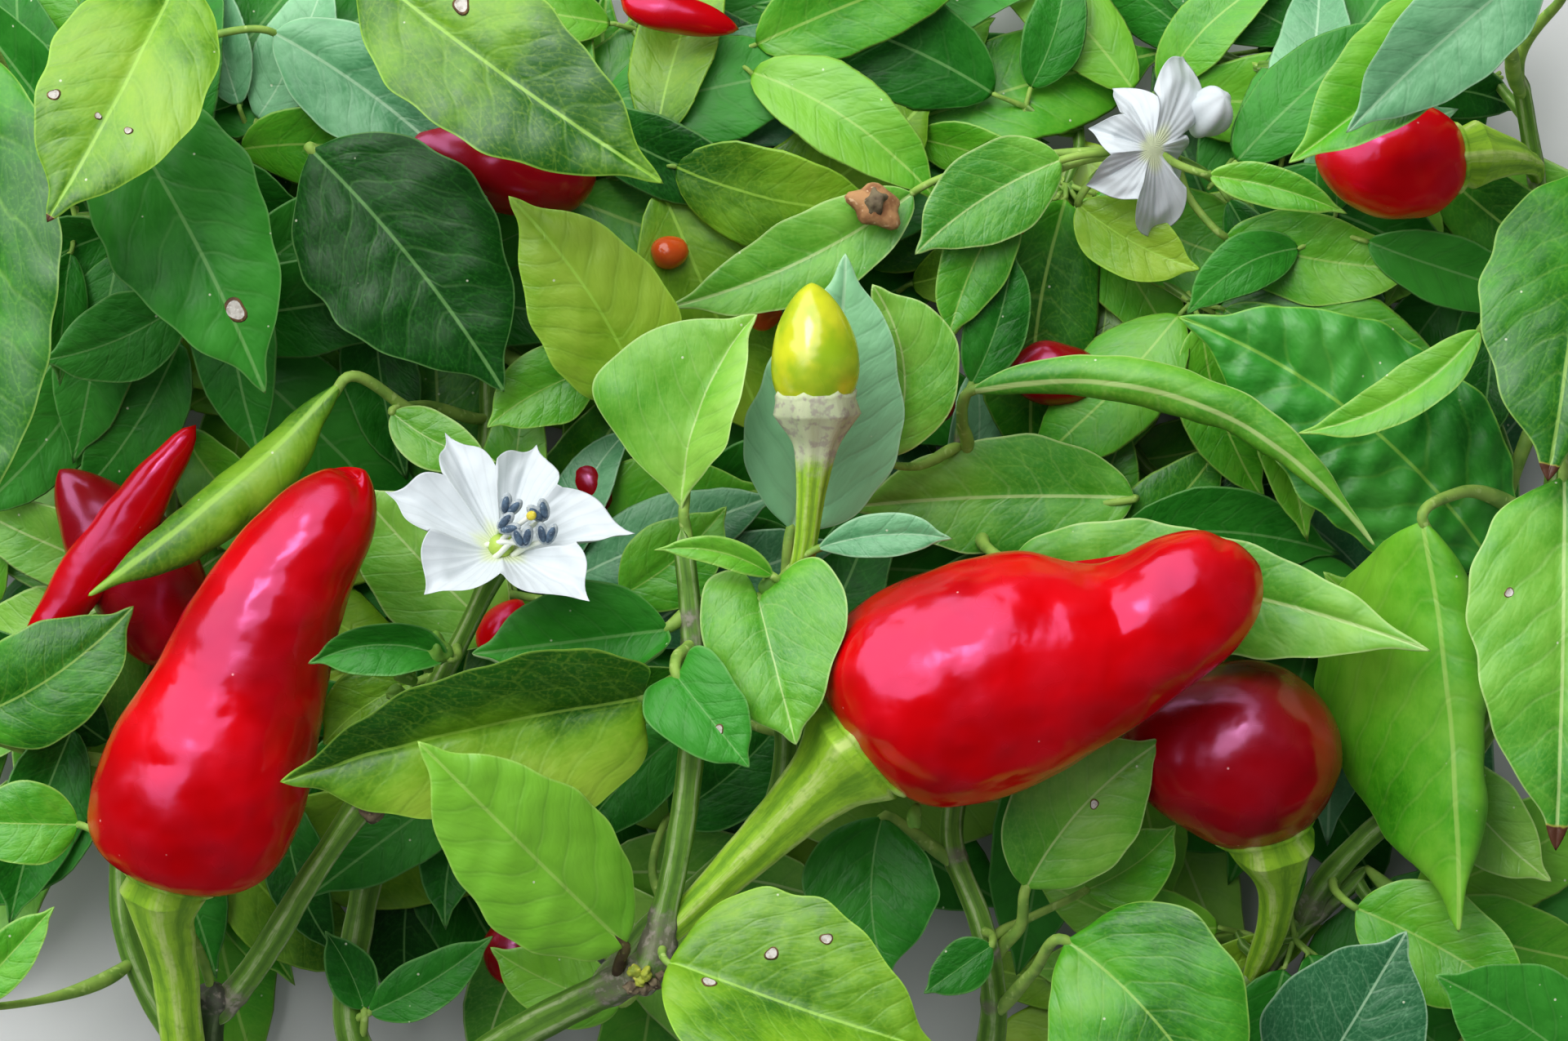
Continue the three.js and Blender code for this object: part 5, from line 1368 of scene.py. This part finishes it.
# masses of small leaves
MASSES = (
    "mass_top_left", "mass_left", "mass_centre", "mass_top", "mass_top_right", "mass_right",
    "mass_low_right",
)
TWIG_FINISHES = ("mid", "light", "dark", "blue", "yellowish")
# The mix leans to the darker greens, which paints shade into the masses that lie deep behind the branch
TWIG_CHANCES = (0.36, 0.1, 0.36, 0.12, 0.06)
# The ways of a twig's leaves, off its own, in radians; the shortest and the longest in millimetres; and
# how many times one is tried, a little shorter each time, until it cuts nothing
TWIG_LEAVES = (0.0, 1.7, -1.7, 0.9, -0.9)
LEAF_LENGTHS = (19, 33)
ATTEMPTS = 9


def build_mass(number, name):
    """Twigs branch off the boughs in a mass and carry leaves over its whole outline. A leaf that would
    cut another is turned or moved, and left out if that doesn't help."""
    rng = np.random.default_rng(100 + number)
    low, high = (np.array(corner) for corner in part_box(name))
    centre, half = (low + high) / 2, (high - low) / 2
    inside = np.abs(LIMB_POINTS - centre) < half * 1.15
    starts = LIMB_POINTS[inside.all(axis=1)]
    if not len(starts):
        starts = LIMB_POINTS[np.linalg.norm(LIMB_POINTS - centre, axis=1).argsort()[:6]]
    spots = []
    spacing = bpy.context.scene.pepper_plant.twig_spacing
    for x in np.arange(-1, 1, spacing / half[0]):
        for y in np.arange(-1, 1, spacing / half[1]):
            spot = np.array([x, y]) + rng.uniform(0, 1, 2) * spacing / half[:2]
            if np.linalg.norm(spot) < 1.0:
                spots.append(spot)
    spots.sort(key=lambda s: np.linalg.norm(starts[:, :2] - (centre[:2] + s * half[:2]), axis=1).min())
    leaves, twigs = Skin(), Skin()
    carriers = starts
    for spot in spots:
        rise = high[2] * (1 - 0.55 * np.linalg.norm(spot) ** 2)
        end = np.array([*(centre[:2] + spot * half[:2]), max(3 * MM, rise * rng.uniform(0.3, 1.0))])
        foot = carriers[np.linalg.norm(carriers - end, axis=1).argmin()]
        between = (foot + end) / 2 + rng.normal(size=3) * (0.8, 0.8, 0.5) * np.array(MM)
        between[2] = max(between[2], 1.5 * MM)
        radii = np.array([0.75, 0.6, 0.45]) * MM
        path, radii, along = fine_path(np.array([foot, between, end]), radii, 1.0 * MM)
        full, paint, _ = ribbed(path, radii, along, TWIG_SIDES, 5, 0.04, rng.uniform(0, 9), joints=False)
        twigs.loft(tube_rings(path, full, TWIG_SIDES), path[0], path[-1], paint, 0.0)
        carriers = np.concatenate([carriers, path[1:]])
        way = math.atan2(*(end - foot)[1::-1])
        slot = int(rng.choice(len(TWIG_FINISHES), p=TWIG_CHANCES))
        for turn in TWIG_LEAVES:
            size = rng.uniform(*LEAF_LENGTHS)
            for attempt in range(ATTEMPTS):
                length = size * MM * (1 - 0.05 * attempt)
                heading = way + turn + rng.uniform(-0.5, 0.5)
                flat = np.array([math.cos(heading), math.sin(heading), 0.0])
                base = end + flat * rng.uniform(1.5, 4) * MM + np.array([0, 0, rng.uniform(0, 2.5) * MM])
                tip = base + flat * length + np.array([0, 0, rng.uniform(-9, 2.5) * MM])
                tip[2] = max(tip[2], 1.2 * MM)
                net = drawn_net(
                    base, tip, length * rng.uniform(0.36, 0.5), arch=rng.uniform(0.5, 2.2) * MM,
                    sweep=rng.uniform(-2, 2) * MM, fold=rng.uniform(4, 22), curl=rng.uniform(-16, 6),
                    roll=rng.uniform(-25, 25),
                )
                if net[..., 2].min() > 0.6 * MM and in_reach(net) and not clashes(net):
                    break
            else:
                continue
            rib, normal = blade(
                leaves, net, FAR_LEAF, rng.uniform(0, 30), 0.12, 0.25, rng.uniform(0.1, 0.9), slots=(slot, 5)
            )
            stem_of_leaf(leaves, np.array([end, (end + base) / 2, base]), rib, normal, 6, 0.3, 6)
    carry(twigs.make(name + "_twigs", finishes("stem")), "stem")
    carry(leaves.make(name + "_leaves", finishes(*TWIG_FINISHES, "under", "rib")), "small_leaves", name)


# small things

# Spots on the leaves: the pixel of the photo, and the radius in millimetres
SPOTS = {
    "leaf_bottom": ((945, 1168, 0.55), (1012, 1150, 0.5), (868, 1203, 0.6)),
    "leaf_spotted_left": ((288, 380, 0.95),),
    "leaf_small_heart": ((881, 893, 0.4),),
    "leaf_low_right": ((1340, 985, 0.4),),
    "leaf_right_edge": ((1848, 726, 0.42),),
    "leaf_top_left": ((66, 116, 0.5), (157, 160, 0.35), (120, 142, 0.3)),
    "leaf_top_centre": ((565, 6, 0.75),),
}
# A spot's rings, from the rim in: the share of its radius, and the height in millimetres
SPOT_OUTLINE = ((1.3, -0.05), (1.15, 0.05), (0.95, 0.09), (0.8, 0.07), (0.4, 0.06))


def build_spots():
    """Dead spots: a pale sunken middle in a dark raised ring."""
    skin = Skin()
    marks = [(leaf, *mark) for leaf, group in SPOTS.items() for mark in group]
    for number, (leaf, x, y, radius) in enumerate(marks):
        way = unit(seen(x, y, 60) - EYE)
        spot, normal, _, _ = LEAF_TREES[leaf].ray_cast(Vector(EYE), Vector(way))
        if spot is None:
            raise RuntimeError(f"no spot on {leaf}")
        spot, normal = np.array(spot), np.array(normal)
        if normal[2] < 0:
            normal = -normal
        side = unit(np.cross(normal, [0.2, 1.0, 0.1]))
        angle = turns(SPOT_SIDES)
        around = circle(side, np.cross(normal, side), angle)
        uneven = 1 + 0.12 * np.sin(2 * angle + number) + 0.08 * np.sin(3 * angle + 2 * number)
        rings = np.array([
            spot + around * (out * radius * uneven)[:, None] * MM + normal * height * MM
            for out, height in SPOT_OUTLINE
        ])
        skin.loft(rings[:3], spot - normal * 0.1 * MM, None, slots=1)
        skin.loft(rings[2:], None, spot + normal * 0.06 * MM, slots=0)
    return carry(skin.make("leaf_spots", finishes("dead", "scorch")), "leaf")


# Buds, stubs and scars: pixel and height, the way they point, half sizes in millimetres, the finish and ribs
BUDS = [
    ((534, 796, 42), (-0.3, 0.9, 0.4), (1.35, 1.35, 1.7), "bud", 6),
    ((516, 808, 42), (-0.7, 0.6, 0.4), (1.0, 1.0, 1.5), "bud", 5),
    ((498, 830, 41), (-0.8, 0.2, 0.5), (0.8, 0.8, 1.3), "bud", 5),
    ((486, 848, 40), (-0.9, -0.1, 0.4), (0.7, 0.7, 1.2), "bud", 5),
    ((1120, 1000, 33), (0.2, 1.0, 0.2), (0.8, 0.8, 1.3), "bud", 0),
    ((940, 718, 39), (0.0, 1.0, 0.3), (0.8, 0.8, 1.2), "bud", 0),
    ((456, 990, 34.4), (0.9, -0.1, 0.4), (1.3, 1.3, 1.6), "cork", 7),
    ((440, 974, 34.4), (0.2, 0.9, 0.5), (1.1, 1.1, 1.3), "cork", 5),
    ((777, 1190, 36.9), (-0.4, -0.1, 0.9), (0.75, 0.65, 0.7), "young_bud", 5),
    ((791, 1193, 37.0), (0.2, -0.2, 0.9), (0.6, 0.7, 0.7), "young_bud", 4),
    ((784, 1201, 36.8), (-0.1, -0.6, 0.8), (0.65, 0.6, 0.6), "young_bud", 5),
    ((774, 1210, 36.4), (-0.3, -0.7, 0.7), (0.75, 0.7, 0.7), "cork", 6),
    ((789, 1211, 36.2), (0.1, -0.8, 0.5), (0.6, 0.75, 0.6), "cork", 5),
    ((801, 1204, 36.3), (0.5, -0.6, 0.6), (0.7, 0.6, 0.75), "cork", 6),
    ((809, 1194, 36.2), (0.7, -0.2, 0.7), (0.55, 0.6, 0.8), "cork", 5),
    ((1480, 138, 17), (0.5, 0.5, 0.7), (2.2, 2.4, 3.0), "petal", 5),
    ((1072, 252, 24), (0.2, 0.2, 0.9), (2.7, 2.2, 1.3), "withered", 5),
    ((1072, 247, 25), (0.2, 0.3, 0.9), (1.1, 1.3, 1.0), "cork", 5),
]


def build_buds():
    names = ("bud", "cork", "petal", "withered", "young_bud")
    skin = Skin()
    for place, way, size, finish, ribs in BUDS:
        knobs = {"petal": 0.03, "withered": 0.12}.get(finish, 0.2)
        way, size = np.array(way, float), np.array(size) * MM
        ball(skin, seen(*place), way, size, names.index(finish), *BUD_GRID, ribs=ribs, knobbly=knobs)
    return carry(skin.make("buds_and_scars", finishes(*names)), "stem")


# Small fruits far behind: both ends as pixels with a height, the half width in millimetres, and the finish
FAR_FRUITS = [
    ((700, 610, 14), (760, 580, 14), 3.6, "crimson"),
    ((1236, 455, 14), (1360, 462, 14), 3.2, "crimson"),
    ((592, 1150, 12), (700, 1185, 12), 3.6, "crimson"),
    ((40, 790, 19), (240, 520, 20), 3.0, "ripe"),
    ((760, 0, 20), (905, 36, 20), 2.2, "ripe"),
    ((800, 320, 18), (842, 300, 18), 1.9, "turning"),
    ((915, 378, 18), (958, 384, 18), 1.9, "turning"),
    ((1236, 290, 18), (1250, 262, 18), 1.3, "turning"),
    ((590, 800, 22), (640, 735, 22), 2.2, "ripe"),
    ((1130, 490, 14), (1170, 500, 14), 2.0, "crimson"),
]


def build_far_fruits():
    names = ("ripe", "crimson", "turning")
    skin = Skin()
    for number, (start, end, half, finish) in enumerate(FAR_FRUITS):
        start, end = seen(*start), seen(*end)
        path = np.linspace(start, end, FAR_FRUIT_ROWS)[1:-1]
        share = np.linspace(0, 1, FAR_FRUIT_ROWS)[1:-1]
        radii = half * MM * np.sin(np.pi * share**0.8) ** 0.55
        rings = tube_rings(path, radii, FAR_FRUIT_SIDES)
        rings = rings + unit(rings - path[:, None]) * (lumps(rings, 5 * MM, number) * 0.25 * MM)[..., None]
        skin.loft(rings, start, end, slots=names.index(finish))
    return carry(skin.make("far_small_fruits", finishes(*names)), "fruit")


# settings and operators
class PepperStageSettings(bpy.types.PropertyGroup):
    floor_size: bpy.props.FloatProperty(
        name="Floor size", description="Side of the pale floor", default=6.0, unit="LENGTH"
    )
    key_power: bpy.props.FloatProperty(
        name="Key light", description="Power of the large soft light", default=76.0, unit="POWER"
    )
    fill_power: bpy.props.FloatProperty(
        name="Spark light", description="Power of the small light that gives the hard glints",
        default=2.2, unit="POWER",
    )
    sky: bpy.props.FloatProperty(
        name="Surround", description="Strength of the white surround", default=0.3
    )


class PepperPlantSettings(bpy.types.PropertyGroup):
    ripe: bpy.props.FloatVectorProperty(
        name="Ripe fruit", description="Colour of the ripe fruits",
        subtype="COLOR", default=linear("#d60205")[:3],
    )
    dark_ripe: bpy.props.FloatVectorProperty(
        name="Dark fruit", description="Colour of the oldest fruits",
        subtype="COLOR", default=linear("#9c030a")[:3],
    )
    unripe: bpy.props.FloatVectorProperty(
        name="Unripe fruit", description="Colour of the youngest fruit",
        subtype="COLOR", default=linear("#ccd326")[:3],
    )
    petal: bpy.props.FloatVectorProperty(
        name="Petals", description="Colour of the petals",
        subtype="COLOR", default=linear("#cdd5d8")[:3],
    )
    twig_spacing: bpy.props.FloatProperty(
        name="Twig spacing", description="Distance between the twigs of a mass",
        default=8.6 * MM, unit="LENGTH",
    )
    leaf_thickness: bpy.props.FloatProperty(
        name="Leaf thickness", description="Thickness of a leaf blade",
        default=0.28 * MM, unit="LENGTH",
    )


def operator(name, label, text, build):
    """An operator class that runs one builder."""

    def execute(self, context):
        build()
        return {"FINISHED"}

    parts = {"bl_idname": "pepper." + name, "bl_label": label, "__doc__": text, "execute": execute}
    return type("PEPPER_OT_" + name, (bpy.types.Operator,), parts)


def set_finishes():
    """Makes the materials, and forgets the search trees of pieces made before."""
    for kept in (BLOCKERS, LEAF_TREES, FRUIT_TREES):
        kept.clear()
    FINISHES.update(build_materials())


def build_all(builder, names):
    for number, name in enumerate(names):
        builder(number, name)


def build_stage():
    scene = bpy.context.scene
    settings = scene.pepper_stage
    half = settings.floor_size / 2
    skin = Skin()
    corners = np.array([[-half, -half, 0], [half, -half, 0], [half, half, 0], [-half, half, 0]])
    rings = np.stack([corners + [0, 0, -0.02], corners])
    skin.loft(rings, np.array([0, 0, -0.02]), np.array([0, 0, 0.0]))
    floor = skin.make("floor", finishes("board"))
    floor.data.shade_flat()
    floor.visible_glossy = False  # it leaves no milky edge on wax and cuticle
    target = Vector((0, 0, 0.03))  # inside the foliage
    for name, place, size, power in (
        ("key_light", (-0.8, 1.3, 1.3), 3.0, settings.key_power),
        ("spark_light", (-0.32, 0.6, 0.95), 0.28, settings.fill_power),
    ):
        light = bpy.data.lights.new(name, "AREA")
        light.shape, light.size, light.energy = "SQUARE", size, power
        lamp = bpy.data.objects.new(name, light)
        lamp.location = place
        lamp.rotation_euler = (target - lamp.location).to_track_quat("-Z", "Y").to_euler()
        scene.collection.objects.link(lamp)
    world = bpy.data.worlds.new("white_surround")
    scene.world = world
    world.use_nodes = True
    background = world.node_tree.nodes["Background"]
    background.inputs["Color"].default_value = linear("#f6f9ff")
    background.inputs["Strength"].default_value = settings.sky
    world.cycles_visibility.glossy = False  # it fills the shadows without a milky reflection
    camera = bpy.data.cameras.new("eye")
    frame_width = PHOTO_SIZE[0] * PIXEL
    camera.sensor_width = SENSOR
    camera.lens = SENSOR * (EYE[2] - FRUIT_HEIGHT) / frame_width
    camera.dof.use_dof = False
    camera.clip_start = 0.01
    watcher = bpy.data.objects.new("eye", camera)
    watcher.location = EYE
    scene.collection.objects.link(watcher)
    scene.camera = watcher
    scene.view_settings.view_transform = "Standard"


OPERATORS = [
    operator(*texts, build)
    for *texts, build in (
        ("finishes", "Finishes", "Makes all the materials", set_finishes),
        ("stage", "Stage", "Makes the floor, the lights and the camera", build_stage),
        ("fruits", "Fruits", "Makes the skins of the fruits", lambda: build_all(build_fruit, FRUITS)),
        ("limbs", "Limbs", "Makes the stems and boughs", lambda: build_all(build_limb, LIMBS)),
        ("stalks", "Stalks", "Makes the stalks and calyxes", lambda: build_all(build_stalk, STALKS)),
        ("leaves", "Leaves", "Makes the big leaves", lambda: build_all(build_leaf, LEAVES)),
        ("small_leaves", "Small leaves", "Makes the small leaves in front", build_small_leaves),
        ("open_flower", "Open flower", "Makes the open corolla",
         lambda: build_corolla("flower", 1.2, 0.0, shift=1.3)),
        ("heart", "Flower heart", "Makes the stamens and the ovary", build_heart),
        ("far_flower", "Far flower", "Makes the far corolla",
         lambda: build_corolla("far_flower", 2.2, 2.6, 1.7, 0.12)),
        ("spots", "Spots", "Makes the dead spots on the leaves", build_spots),
        ("buds", "Buds", "Makes buds, stubs and scars", build_buds),
        ("far_fruits", "Far fruits", "Makes the small fruits far behind", build_far_fruits),
        ("masses", "Masses", "Makes the twigs and leaves behind", lambda: build_all(build_mass, MASSES)),
    )
]


class PEPPER_PT_panel(bpy.types.Panel):
    bl_label = "Pepper Branch"
    bl_idname = "PEPPER_PT_panel"
    bl_space_type = "VIEW_3D"
    bl_region_type = "UI"
    bl_category = "Pepper"

    def draw(self, context):
        for made in OPERATORS:
            self.layout.operator(made.bl_idname)
        for settings in (context.scene.pepper_stage, context.scene.pepper_plant):
            for key in type(settings).__annotations__:
                self.layout.prop(settings, key)


CLASSES = [PepperStageSettings, PepperPlantSettings, *OPERATORS, PEPPER_PT_panel]


def register():
    for made in CLASSES:
        bpy.utils.register_class(made)
    bpy.types.Scene.pepper_stage = bpy.props.PointerProperty(type=PepperStageSettings)
    bpy.types.Scene.pepper_plant = bpy.props.PointerProperty(type=PepperPlantSettings)


def unregister():
    del bpy.types.Scene.pepper_plant
    del bpy.types.Scene.pepper_stage
    for made in reversed(CLASSES):
        bpy.utils.unregister_class(made)


def main():
    register()
    for made in OPERATORS:
        group, name = made.bl_idname.split(".")
        getattr(getattr(bpy.ops, group), name)()


if __name__ == "__main__":
    main()
